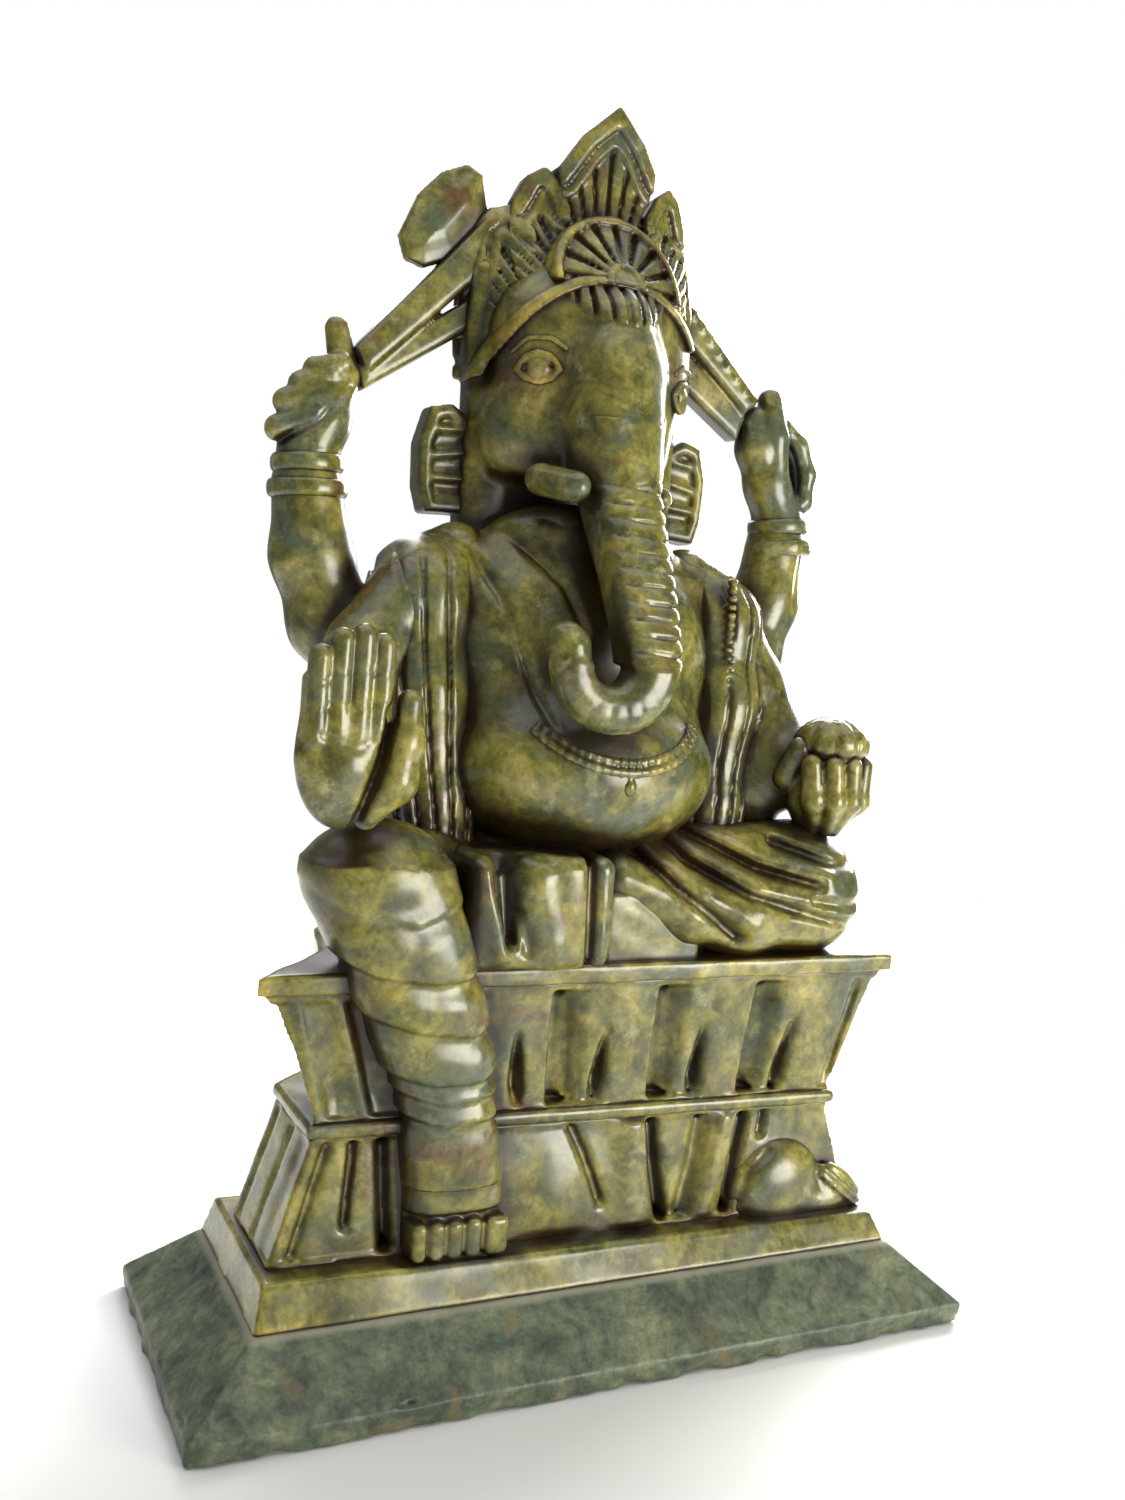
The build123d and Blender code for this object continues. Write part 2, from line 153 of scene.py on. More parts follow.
def block(g, centre, half, corner=1.0):
    """Box with rounded edges."""
    parts = [abs(p - c) - (h - corner) for p, c, h in zip((g.x, g.y, g.z), centre, half)]
    outside = length(*(np.maximum(p, 0.0) for p in parts))
    inside = np.minimum(np.maximum(np.maximum(parts[0], parts[1]), parts[2]), 0.0)
    return outside + inside - corner


def rounded(a, b, corner):
    """Intersection with a round edge, of two distances drawn in by the corner's radius."""
    return length(np.maximum(a, 0), np.maximum(b, 0)) + np.minimum(np.maximum(a, b), 0) - corner


def disc(g, centre, radius, half_height, corner):
    """Upright round disc with a rounded rim."""
    out = length(g.x - centre[0], g.y - centre[1]) - (radius - corner)
    up = abs(g.z - centre[2]) - (half_height - corner)
    return rounded(out, up, corner)


def line(u, v, points):
    """Distance in one plane to a bent line."""
    nearest = None
    for (ax, ay), (bx, by) in zip(points, points[1:]):
        ex, ey = bx - ax, by - ay
        t = np.clip(((u - ax) * ex + (v - ay) * ey) / (ex * ex + ey * ey), 0.0, 1.0)
        gap = (u - ax - ex * t) ** 2 + (v - ay - ey * t) ** 2
        nearest = gap if nearest is None else np.minimum(nearest, gap)
    return np.sqrt(nearest)


def outline(u, v, points):
    """Distance to a closed outline in one plane, negative inside."""
    closed = points + points[:1]
    inside = False
    for (ax, ay), (bx, by) in zip(closed, closed[1:]):
        beside = (u - ax) * (by - ay) - (v - ay) * (bx - ax)
        inside = inside ^ (((ay > v) != (by > v)) & (beside * np.where(by > ay, 1, -1) < 0))
    return line(u, v, closed) * np.where(inside, -1.0, 1.0)


def plate(g, points, middle_y, half_thickness, corner=1.2):
    """Upright plate with an outline in x and z, and rounded edges."""
    side = outline(g.x, g.z, points) + corner
    face = abs(g.y - middle_y) - (half_thickness - corner)
    return rounded(side, face, corner)


def tapered(g, low_z, low_plan, high_z, high_plan, corner=0.5):
    """Solid between two level outlines with the same number of corners, drawn in x and y."""
    rise = np.clip((g.z - low_z) / (high_z - low_z), 0.0, 1.0)
    corners = zip(low_plan, high_plan)
    plan = [(ax + (bx - ax) * rise, ay + (by - ay) * rise) for (ax, ay), (bx, by) in corners]
    lean = abs(high_plan[0][0] - low_plan[0][0]) / (high_z - low_z)
    side = outline(g.x, g.y, plan) / math.sqrt(1.0 + lean * lean) + corner
    level = np.maximum(low_z - g.z, g.z - high_z) + corner
    return rounded(side, level, corner)


def column(g, stations, power=2.6):
    """Upright limb with squarish sections, given from the lowest as (z, x, y, half width, half depth)."""
    levels = [station[0] for station in stations]
    x, y, wide, deep = (np.interp(g.z, levels, [station[i] for station in stations]) for i in (1, 2, 3, 4))
    reach = abs((g.x - x) / wide) ** power + abs((g.y - y) / deep) ** power
    return (reach ** (1.0 / power) - 1.0) * np.minimum(wide, deep)


def bump(distance, width):
    """1 on a line, fading to 0 within about its width."""
    return np.exp(-((distance / width) ** 2))


def ramp(value, low, high):
    """0 below low, 1 above high, smooth between."""
    t = np.clip((value - low) / (high - low), 0.0, 1.0)
    return t * t * (3.0 - 2.0 * t)


def fall(value, low, high):
    """1 below low, 0 above high, smooth between."""
    return 1.0 - ramp(value, low, high)


def engrave(body, g, lines, width, depth):
    """Cuts soft grooves along lines drawn in x and z."""
    for points in lines:
        body = body + depth * bump(line(g.x, g.z, points), width)
    return body


def waves(g, pitch, height, shift=0.0):
    """Slow uneven swell of a surface dressed by hand."""
    a = np.sin(g.x / pitch + 1.7 + shift) * np.cos(g.y / (0.8 * pitch) - shift)
    b = np.sin(g.z / (1.1 * pitch) + 0.6 * shift) * np.cos(g.x / (1.6 * pitch) - 0.4)
    c = np.sin((g.x + g.z) / (0.63 * pitch)) * np.sin((g.y - g.z) / (0.71 * pitch) + 2.0)
    return height * (a + b + c) / 3.0


# ---- base, plinth and throne
BASE_HALF, BASE_DEPTH_HALF = 100.0, 41.7
BASE_EDGE_Z, BASE_TOP_Z = 5.4, 18.6
PLINTH_HALF, PLINTH_DEPTH_HALF = 84.1, 27.9
PLINTH_TOP_HALF, PLINTH_TOP_DEPTH_HALF = 82.0, 23.9
PLINTH_TOP_Z = 28.2
WAIST_Z, BAND_TOP_Z = 56.0, 59.6
TIER_TOP_Z, SEAT_Z = 89.4, 93.8
SUNK_Z = SEAT_Z - 0.8  # foot of what sits on the seat, which is let into it a little
SAG = 0.019  # how much lower the tiers lie for each millimetre towards the figure's left


def rectangle(half_width, half_depth):
    return [(x * half_width, y * half_depth) for x, y in ((-1, -1), (1, -1), (1, 1), (-1, 1))]


def throne_plan(half_width, front_y, back_y, side_back_y, corner):
    right = [(half_width, front_y), (half_width, side_back_y), (half_width - corner, back_y)]
    return right + [(-x, y) for x, y in reversed(right)]


def seat_plan(half_width, front_y, share=1.0):
    """The seat narrows towards the back, with a slanted cut at each rear corner."""
    return [
        (-half_width, front_y),
        (half_width, front_y),
        (half_width + 1.5, 8.0),
        (half_width - 24.0 * share, 29.0),
        (-half_width + 26.0 * share, 29.0),
        (-half_width + 20.0 * share, 4.0),
    ]


FOOT_PLAN = throne_plan(80.0, -17.5, 22.5, 13.0, 12.0)
WAIST_PLAN = throne_plan(70.8, -15.3, 27.0, 14.0, 14.0)
BAND_PLAN = throne_plan(72.2, -16.7, 28.0, 14.0, 14.0)
UPPER_FOOT_PLAN = seat_plan(70.8, -15.3, 0.84)
TIER_PLAN = seat_plan(84.0, -16.8)
SEAT_PLAN = seat_plan(86.0, -18.4)


def settled(g):
    """Points for the tiers, which sag towards one side, as they were cut by eye."""
    share = np.clip((g.z - 19.0) / 6.0, 0.0, 1.0) * np.clip((88.0 - g.z) / 26.0, 0.0, 1.0)
    return Moved(g.x, g.y, g.z + SAG * (g.x + PLINTH_TOP_HALF) * share)


@carved(0.15)
def base_slab(g):
    foot = rectangle(BASE_HALF, BASE_DEPTH_HALF)
    body = tapered(g, 0.0, foot, BASE_EDGE_Z + 0.2, foot, 0.5)
    slope = tapered(g, BASE_EDGE_Z, foot, BASE_TOP_Z, rectangle(PLINTH_HALF, PLINTH_DEPTH_HALF), 0.5)
    heart = block(g, (0.0, 0.0, BASE_EDGE_Z), (90.0, 33.0, 2.5), 1.0)
    body = melt(np.minimum(body, heart), slope, 0.3) + waves(g, 5.5, 0.3) + waves(g, 2.3, 0.12, 3.0)
    ragged = fall(g.z, 1.0, 5.5)
    body = body + ragged * (0.4 + waves(g, 4.3, 0.6, 1.0) + waves(g, 1.9, 0.4, 2.2))
    body = cut(body, egg(g, (-102.0, -43.5, 3.0), (7.5, 4.0, 6.0)), 1.0)
    return np.maximum(body, -g.z)


@carved(0.15)
def plinth(g):
    g = settled(g)
    low = rectangle(PLINTH_HALF, PLINTH_DEPTH_HALF)
    high = rectangle(PLINTH_TOP_HALF, PLINTH_TOP_DEPTH_HALF)
    return tapered(g, BASE_TOP_Z - 0.2, low, PLINTH_TOP_Z, high, 0.8) + waves(g, 6.0, 0.25)


UPPER_EDGES = [(-46.0, -42.0), (-13.8, -13.2), (15.5, 15.0), (44.8, 41.3), (76.4, 67.2)]
UPPER_NOTCHES = [(-23.6, -20.9), (2.6, -0.1), (31.0, 27.9), (60.5, 53.0)]
UPPER_RIBS = [(-75.5, -67.5), (-66.0, -57.0)]


def front_share(g):
    """Share of the throne's front face."""
    return fall(g.y, -12.0, -7.0)


def side_share(g):
    """Share of the throne's two side faces."""
    return ramp(abs(g.x), 60.0, 68.0) * ramp(g.y, -12.0, -8.0)


def crossing(g, top_x, bottom_x):
    """X of a line down the upper tier's front, from its top to its foot."""
    return bottom_x + (top_x - bottom_x) * (g.z - BAND_TOP_Z) / (TIER_TOP_Z - BAND_TOP_Z)


@carved(0.3)
def throne_upper_tier(g):
    g = settled(g)
    body = tapered(g, BAND_TOP_Z - 0.5, UPPER_FOOT_PLAN, TIER_TOP_Z + 0.5, TIER_PLAN, 0.8)
    top_z = TIER_TOP_Z - 1.6
    panel = ramp(g.z, BAND_TOP_Z, BAND_TOP_Z + 1.2) * fall(g.z, top_z - 1.5, top_z)
    fade = 0.3 + 0.7 * ramp(g.z, BAND_TOP_Z + 0.5, BAND_TOP_Z + 6.0)
    fade = fade * (1.0 - 0.5 * ramp(g.z, top_z - 5.0, top_z))
    relief = 0.9
    for (left_top, left_foot), (right_top, right_foot) in zip(UPPER_EDGES, UPPER_EDGES[1:]):
        left, right = crossing(g, left_top, left_foot), crossing(g, right_top, right_foot)
        share = (g.x - left) / (right - left)
        hollow = ramp(share, 0.0, 0.03) * fall(share, 0.09, 0.36)
        swell = bump(share - 0.72, 0.25)
        relief = relief + 5.0 * hollow * fade - swell + 2.6 * fade * bump(g.x - left - 1.9, 1.5)
    last = crossing(g, *UPPER_EDGES[-1])
    relief = relief + 1.2 * fade * ramp(g.x, last, last + 0.6) * fall(g.x, last + 2.0, last + 3.5)
    for notch in UPPER_NOTCHES:
        share = np.clip((TIER_TOP_Z - 10.0 - g.z) / 12.0, 0.0, 1.0)
        relief = relief + 4.2 * share * fade * bump(g.x - crossing(g, *notch), 0.8 + 0.8 * share)
    for rib in UPPER_RIBS:
        offset = g.x - crossing(g, *rib)
        hollow = ramp(g.x, -71.0, -64.0) * ramp(offset, 0.0, 1.5) * fall(offset, 3.0, 8.0)
        relief = relief + 1.4 * fade * hollow - 0.8 * bump(offset + 1.5, 1.4)
    body = body + front_share(g) * panel * relief
    body = body + side_share(g) * panel * 0.9 * bump(np.sin(g.y / 3.4), 0.35)
    back = ramp(g.y, 20.0, 24.0)
    body = body + back * panel * 1.1 * bump(np.sin(g.x / 4.4), 0.22)
    return body + waves(g, 6.0, 0.3)


LOWER_GROOVES = [
    ([(-66.5, 55.0), (-74.0, 30.0)], 1.2, 1.6),
    ([(-60.5, 54.0), (-61.2, 44.0), (-61.8, 36.0)], 1.2, 2.4),
    ([(-53.6, 55.5), (-51.8, 29.0)], 1.6, 3.4),
    ([(-6.2, 55.5), (-2.4, 48.0), (2.6, 36.0)], 1.3, 2.0),
    ([(16.6, 55.5), (18.5, 42.0), (21.8, 26.5)], 1.7, 3.6),
    ([(31.5, 54.0), (30.0, 44.0), (26.5, 31.0)], 2.4, 2.2),
    ([(44.6, 54.0), (42.0, 40.0), (40.0, 29.0)], 1.5, 3.0),
    ([(51.0, 55.0), (50.0, 49.0)], 1.2, 1.8),
]


@carved(0.3)
def throne_lower_tier(g):
    g = settled(g)
    body = tapered(g, PLINTH_TOP_Z - 0.5, FOOT_PLAN, WAIST_Z + 0.5, WAIST_PLAN, 0.8)
    panel = ramp(g.z, PLINTH_TOP_Z + 0.3, PLINTH_TOP_Z + 1.5) * fall(g.z, WAIST_Z - 1.8, WAIST_Z - 0.4)
    relief = 0.6
    for points, width, depth in LOWER_GROOVES:
        relief = relief + depth * bump(line(g.x, g.z, points), width)
    relief = relief - 2.2 * bump(g.x + 9.0, 11.0) * bump(g.z - 38.0, 13.0) - 1.8 * bump(g.x - 12.0, 6.0)
    relief = relief - 1.2 * bump(line(g.x, g.z, [(39.0, 54.0), (33.0, 30.0)]), 3.0)
    body = body + front_share(g) * panel * relief
    body = body + side_share(g) * panel * 0.9 * bump(np.sin(g.y / 3.8 + 0.5), 0.3)
    back = ramp(g.y, 18.0, 22.0)
    body = body + back * panel * bump(np.sin(g.x / 5.2), 0.22)
    return body + waves(g, 6.5, 0.3, 2.0)


@carved(0.5)
def throne_waist_band(g):
    g = settled(g)
    return tapered(g, WAIST_Z, BAND_PLAN, BAND_TOP_Z, BAND_PLAN, 1.2) + waves(g, 5.0, 0.25, 1.0)


@carved(0.5)
def seat_slab(g):
    return tapered(g, TIER_TOP_Z - 0.4, SEAT_PLAN, SEAT_Z, SEAT_PLAN, 0.9) + waves(g, 6.0, 0.35, 4.0)


@carved(0.6)
def mouse(g):
    g = settled(g)
    mound = egg(g, (56.5, -13.5, 33.0), (15.0, 7.6, 14.5))
    mound = mound + 0.8 * bump(line(g.x, g.z, [(43.5, 31.0), (46.0, 39.5), (52.0, 44.5)]), 1.0)
    leaf_frame = turned(g, (75.0, -17.4, 33.6), roll=38.0)
    leaf_shape = egg(leaf_frame, (0.0, 0.0, 0.0), (10.0, 3.4, 4.6))
    for offset in (-1.9, 0.0, 1.9):
        leaf_shape = leaf_shape + 0.9 * bump(leaf_frame.z - offset, 0.6)
    tail = egg(g, (70.0, -14.0, 30.0), (12.0, 6.5, 6.0))
    body = melt(melt(mound, tail, 2.5), leaf_shape, 0.6)
    return np.maximum(body, PLINTH_TOP_Z - 0.6 - g.z)


# ---- body and cloth
BELLY_Y, BELLY_Z = 8.0, 138.5
BELLY_WIDE, BELLY_DEEP, BELLY_HIGH = 37.0, 25.2, 23.0


@carved(1.5)
def torso(g):
    belly = egg(g, (0.0, BELLY_Y, BELLY_Z), (BELLY_WIDE, BELLY_DEEP, BELLY_HIGH))
    chest = egg(g, (0.0, 15.0, 165.0), (39.0, 20.0, 34.0))
    shoulders = bone(g, (-36.0, 20.0, 184.5), (36.0, 20.0, 184.5), 11.0)
    hips = egg(g, (0.0, 12.0, 106.0), (40.0, 18.0, 20.0))
    neck = egg(g, (0.0, 16.0, 196.0), (25.0, 14.0, 9.0))
    body = melt(melt(belly, chest, 8.0), melt(shoulders, neck, 6.0), 5.0)
    body = melt(body, hips, 4.0)
    body = np.maximum(body, SEAT_Z - 1.0 - g.z)
    sash = [(-34.0, 194.0), (-27.0, 180.0), (-20.0, 160.0), (-17.0, 150.0)]
    front = fall(g.y, 8.0, 14.0)
    body = engrave(body, g, [sash], 1.3, 1.1 * front)
    edge = [(-24.0, 196.0), (-12.0, 183.0), (-7.0, 172.0)]
    body = engrave(body, g, [edge], 1.1, 0.9 * front)
    return keep(body, g.y - BACK_Y, 3.0) + waves(g, 7.0, 0.35)


@carved(0.9)
def right_shawl(g):
    """Carved cloth over one shoulder, with long folds that draw together towards the waist."""
    body = chain(g, [
        (-33.0, 20.0, 189.0, 8.5),
        (-42.0, 17.0, 178.0, 12.5),
        (-42.0, 14.0, 155.0, 13.0),
        (-39.5, 11.0, 128.0, 11.0),
        (-37.0, 10.0, 104.0, 10.0),
    ], 5.0)
    body = melt(body, bone(g, (-42.0, 24.0, 182.0), (-38.0, 22.0, 104.0), 10.5), 5.0)
    spread = 0.62 + 0.38 * ramp(g.z, 110.0, 180.0)
    across = (g.x + 39.0 + 0.10 * (g.z - 150.0)) / spread - 0.35 * g.y
    fold = abs(np.sin(across * math.pi / 6.4 + 0.25 * np.sin(g.z / 17.0)))
    fade = ramp(g.z, 99.0, 106.0) * fall(g.z, 184.0, 191.0)
    body = body + 1.25 * fall(fold, 0.05, 0.55) * fade
    body = np.maximum(body, SUNK_Z - g.z)
    return keep(body, g.y - BACK_Y, 2.0)


@carved(0.9)
def left_shawl(g):
    body = right_shawl(mirrored(g))
    for step in range(28):
        t = step / 27.0
        body = melt(body, egg(g, (38.5 + 2.0 * t, 3.0 + 1.5 * t, 189.0 - 60.0 * t), (1.5, 1.7, 1.0)), 0.5)
    return body


@carved(0.4)
def bead_garland(g):
    """Double row of small beads on the belly, with a larger drop at the middle."""
    body = FAR
    for row, radius in ((0.0, 1.2), (2.6, 1.45)):
        for step in range(-11, 14):
            angle = step / 12.0
            x, z = (26.0 + 0.6 * row) * math.sin(angle) + 1.0, 161.0 - (18.6 + row) * math.cos(angle)
            depth = math.sqrt(max(0.0, 1.0 - (x / BELLY_WIDE) ** 2 - ((z - BELLY_Z) / BELLY_HIGH) ** 2))
            bead = egg(g, (x, BELLY_Y + 0.4 - BELLY_DEEP * depth, z), (radius + 0.15, 1.3, radius))
            body = melt(body, bead, 0.5)
    drop = egg(g, (1.5, -16.6, 136.4), (1.9, 1.6, 2.4))
    return melt(body, drop, 0.5)


@carved(0.6, 28.0)
def lap_cloth(g):
    body = block(g, (-19.5, -3.0, 106.0), (19.0, 16.5, 13.6), 3.5)
    relief = -1.8 * bump(line(g.x, g.z, [(-35.8, 117.0), (-30.0, 97.0)]), 2.6)
    wedge = 1.3 + 1.9 * ramp(g.z, 98.0, 116.0)
    relief = relief + 5.0 * bump(line(g.x, g.z, [(-29.6, 117.0), (-27.6, 100.0)]) / wedge, 1.0)
    relief = relief - 2.2 * bump(line(g.x, g.z, [(-21.0, 113.0), (-17.0, 100.0)]), 6.0)
    relief = relief + 2.6 * bump(line(g.x, g.z, [(-7.6, 118.0), (-6.6, 95.0)]), 1.3)
    relief = relief + 1.4 * bump(line(g.x, g.z, [(-25.5, 106.0), (-23.0, 98.0)]), 1.5)
    body = body + relief * fall(g.y, -12.0, -6.0)
    skirt = block(g, (11.0, -4.0, 101.5), (15.5, 11.6, 9.5), 2.0)
    body = melt(body, skirt, 0.8)
    return np.maximum(body, SUNK_Z - g.z) + waves(g, 4.0, 0.3)


# ---- legs
LEG = [
    (45.0, -37.2, -15.5, 11.8, 8.4),
    (60.0, -39.3, -15.5, 11.8, 9.6),
    (74.0, -43.2, -15.0, 13.8, 10.6),
    (88.0, -48.6, -15.0, 15.8, 11.6),
    (103.0, -54.6, -14.5, 16.9, 12.4),
    (119.0, -58.8, -12.5, 16.6, 12.6),
]
HEMS = [
    ([-76.0, -68.4, -53.0, -42.0], [114.0, 108.5, 105.6, 110.0], 0.4),
    ([-75.0, -72.0, -62.0, -47.6, -39.0, -33.0], [104.0, 99.3, 94.8, 92.6, 93.4, 97.0], 1.1),
    ([-70.0, -66.9, -50.0, -36.8, -30.0], [92.0, 86.6, 81.5, 80.1, 83.0], 1.0),
    ([-64.0, -59.4, -45.8, -34.2, -27.0], [78.0, 72.4, 69.2, 69.5, 72.0], 1.1),
    ([-56.0, -43.0, -28.0], [68.0, 64.4, 66.0], 0.9),
    ([-53.0, -42.7, -27.0], [62.0, 59.6, 60.5], 0.9),
]
KNEE = (-59.0, -12.0, 114.5)


@carved(0.8)
def hanging_leg(g):
    body = np.maximum(column(g, LEG, 2.9), g.z - 118.0)
    body = melt(body, egg(g, KNEE, (17.0, 13.8, 12.6)), 3.0)
    wrap = fall(g.y, -8.0, -3.0)
    for along, heights, depth in HEMS:
        below = np.interp(g.x, along, heights) - g.z
        body = body + wrap * depth * ramp(below, -0.2, 0.7) * fall(below, 0.7, 7.0)
    return np.maximum(body, 44.0 - g.z) + waves(g, 6.0, 0.3, 5.0)


FOOT = [
    (27.0, -35.6, -14.0, 13.2, 9.0),
    (36.0, -36.2, -14.5, 12.4, 8.6),
    (46.0, -37.2, -15.0, 11.6, 8.0),
    (60.0, -39.0, -15.0, 11.0, 8.0),
]
TOES = [(-46.6, 1.9), (-42.4, 2.0), (-38.1, 2.1), (-33.6, 2.2), (-27.9, 3.0)]


@carved(0.8, 16.0)
def foot(g):
    body = column(g, FOOT, 3.4)
    under = ramp(38.6 - g.z, 0.0, 1.0) * fall(g.y, -19.0, -16.0)
    body = body + 0.8 * under
    toes = FAR
    for x, half_width in TOES:
        toes = np.minimum(toes, block(g, (x, -20.0, 32.6), (half_width, 4.2 + 0.3 * half_width, 4.6), 1.6))
    body = melt(body, toes, 0.35)
    return np.maximum(np.maximum(body, PLINTH_TOP_Z - 2.0 - g.z), g.z - 58.0)


@carved(2.0, 14.0)
def right_thigh(g):
    body = chain(g, [(-30.0, 14.0, 109.0, 13.0), (-44.0, 3.0, 110.5, 12.0), (-57.0, -7.0, 112.5, 10.0)], 5.0)
    body = melt(body, egg(g, KNEE, (16.6, 13.4, 12.2)), 4.0)
    return np.maximum(body, SUNK_Z - g.z)


FOLD_LINES = [
    [(7.6, 121.5), (17.8, 111.3), (35.5, 99.5)],
    [(17.2, 125.0), (24.0, 117.1), (37.3, 109.9), (62.9, 103.5), (78.0, 101.0)],
    [(25.0, 124.5), (42.3, 115.9), (58.0, 112.5)],
    [(57.0, 108.5), (70.0, 107.0), (80.0, 108.5)],
    [(50.0, 122.0), (64.0, 117.5), (80.0, 118.0)],
]


@carved(0.7)
def folded_leg(g):
    thigh = bone(g, (8.0, 3.0, 113.5), (60.0, -1.0, 113.5), 10.0, 13.5)
    shin = chain(g, [(4.0, -9.0, 113.0, 6.5), (24.0, -9.0, 105.6, 9.6), (40.0, -9.0, 104.6, 11.2),
                     (62.0, -8.0, 106.0, 12.0)], 4.0)
    knee = egg(g, (62.5, -4.5, 109.0), (16.2, 15.0, 15.4))
    body = melt(melt(thigh, shin, 6.0), knee, 6.0)
    front = fall(g.y, -2.0, 6.0) * (1.0 - 0.7 * ramp(g.x, 58.0, 72.0))
    body = engrave(body, g, FOLD_LINES, 1.4, 2.4 * front)
    for points in FOLD_LINES[:3]:
        lifted = [(x + 3.0, z + 2.6) for x, z in points]
        body = body - 0.9 * front * bump(line(g.x, g.z, lifted), 2.6)
    return np.maximum(body, SUNK_Z - g.z) + waves(g, 6.0, 0.3, 2.5)


# ---- front arms and hands
FINGERS = [
    ((-80.2, 146.0), (-80.0, 163.0), 2.5),
    ((-75.8, 146.0), (-75.6, 166.5), 2.6),
    ((-71.3, 146.0), (-71.0, 167.6), 2.65),
    ((-66.8, 147.0), (-66.6, 166.0), 2.6),
]
PALM_Y = -28.5


@carved(1.0)
def right_front_hand(g):
    palm = egg(g, (-73.4, PALM_Y, 142.0), (10.2, 4.8, 14.8))
    palm = melt(palm, block(g, (-73.6, PALM_Y + 0.8, 150.0), (9.2, 2.4, 10.0), 2.0), 2.0)
    palm = palm + 0.9 * bump(length(g.x + 73.0, g.z - 143.0), 6.0) * fall(g.y, PALM_Y - 1.0, PALM_Y + 2.0)
    for (x0, z0), (x1, z1), radius in FINGERS:
        finger = bone(g, (x0, PALM_Y - 1.6, z0), (x1, PALM_Y - 1.2, z1), radius)
        for knuckle in (0.35, 0.68):
            finger = finger + 0.22 * bump(g.z - z0 - (z1 - z0) * knuckle, 0.6)
        palm = melt(palm, finger, 0.35)
    thumb = chain(g, [(-68.0, PALM_Y, 130.5, 3.4), (-62.8, PALM_Y - 1.0, 138.0, 5.2),
                      (-61.2, PALM_Y - 1.5, 146.0, 4.4), (-60.4, PALM_Y - 2.0, 154.5, 2.8)], 2.0)
    body = melt(palm, thumb, 0.5)
    crease = [(-64.6, 152.0), (-65.8, 143.0), (-68.8, 134.0), (-70.4, 128.5)]
    face = fall(g.y, PALM_Y - 1.0, PALM_Y + 1.5)
    body = engrave(body, g, [crease], 1.1, 2.2 * face)
    palm_line = [(-80.0, 147.0), (-72.0, 144.5), (-66.0, 147.5)]
    body = engrave(body, g, [palm_line], 0.6, 0.35 * face)
    wrist = bone(g, (-70.0, -22.0, 139.0), (-73.0, PALM_Y + 1.0, 141.0), 6.5, 5.5)
    return melt(body, wrist, 2.0)


@carved(1.2, 14.0)
def right_front_arm(g):
    return chain(g, [(-47.0, 15.0, 178.0, 9.5), (-57.0, 12.0, 164.0, 9.6), (-60.5, 8.0, 148.0, 9.0),
                     (-66.0, -8.0, 141.0, 7.6), (-70.0, -20.0, 139.0, 6.4)], 3.0)


BALL = (66.5, -8.5, 148.6)


@carved(0.4)
def sweet_ball(g):
    body = egg(g, BALL, (10.2, 9.6, 7.4))
    x, y = g.x - BALL[0], g.y - BALL[1]
    body = body + 0.75 * bump(np.sin(np.arctan2(y, x) * 4.5), 0.3) * ramp(length(x, y), 1.5, 5.0)
    return body + 0.5 * bump(g.z - (BALL[2] - 3.2), 0.8)


@carved(0.5)
def left_front_hand(g):
    body = egg(g, (65.5, -7.0, 134.5), (9.5, 8.5, 10.5))
    for x, lean, y in ((57.6, 1.6, -12.5), (62.6, 0.8, -15.2), (68.2, -0.4, -15.6), (73.6, -1.8, -13.0)):
        finger = chain(g, [(x + 3.0 * lean, y + 4.0, 126.5, 2.2), (x + 0.6 * lean, y - 0.6, 134.0, 3.0),
                           (x, y, 143.5, 2.75)], 1.5)
        body = melt(body, finger, 0.4)
    thumb = chain(g, [(56.0, -4.0, 139.0, 3.6), (56.5, -8.0, 147.0, 3.0)], 1.5)
    return melt(body, thumb, 0.8)


@carved(1.4, 14.0)
def left_front_arm(g):
    body = chain(g, [(46.0, 18.0, 178.0, 9.5), (54.0, 15.0, 162.0, 9.8), (58.5, 11.0, 147.0, 11.0),
                     (63.0, 2.0, 140.5, 10.0), (65.0, -4.0, 137.0, 8.2)], 3.0)
    return melt(body, egg(g, (54.0, 8.0, 136.0), (10.0, 9.0, 13.0)), 4.0)


# ---- rear arms, their hands and what they hold
ARM_Y = 29.0


def flattened(g):
    """The rear arms are a little thinner from front to back than they are wide."""
    return Moved(g.x, (g.y - ARM_Y) * 1.12 + ARM_Y, g.z)


@carved(1.6, 14.0)
def right_rear_arm(g):
    return chain(flattened(g), [(-50.0, 27.0, 158.0, 9.0), (-61.0, 28.5, 170.0, 10.2),
                                (-67.0, ARM_Y, 186.0, 9.6), (-69.3, ARM_Y, 203.0, 8.5)], 4.0)


@carved(1.6, 14.0)
def left_rear_arm(g):
    body = chain(flattened(g), [(50.0, 27.0, 158.0, 9.5), (61.0, 28.5, 170.0, 10.0),
                                (66.5, ARM_Y, 186.0, 9.3), (68.5, ARM_Y, 203.0, 8.5)], 4.0)
    ridge = [(73.5, 200.0), (71.0, 185.0), (66.0, 165.0)]
    return engrave(body, g, [ridge], 1.3, 0.6 * fall(g.y, 27.0, 31.0))


def bracelet(g, tilt):
    """Two rounded bands with a groove between them."""
    band = turned(flattened(g), (-69.3, ARM_Y, 205.0), roll=tilt)
    wide = disc(band, (0.0, 0.0, -3.2), 9.8, 2.3, 1.4)
    narrow = disc(band, (0.0, 0.0, 2.8), 8.9, 2.4, 1.6)
    return melt(wide, narrow, 0.3)


@carved(0.4)
def right_rear_bracelet(g):
    return bracelet(g, -4.0)


@carved(0.4)
def left_rear_bracelet(g):
    return bracelet(mirrored(g), 8.0)


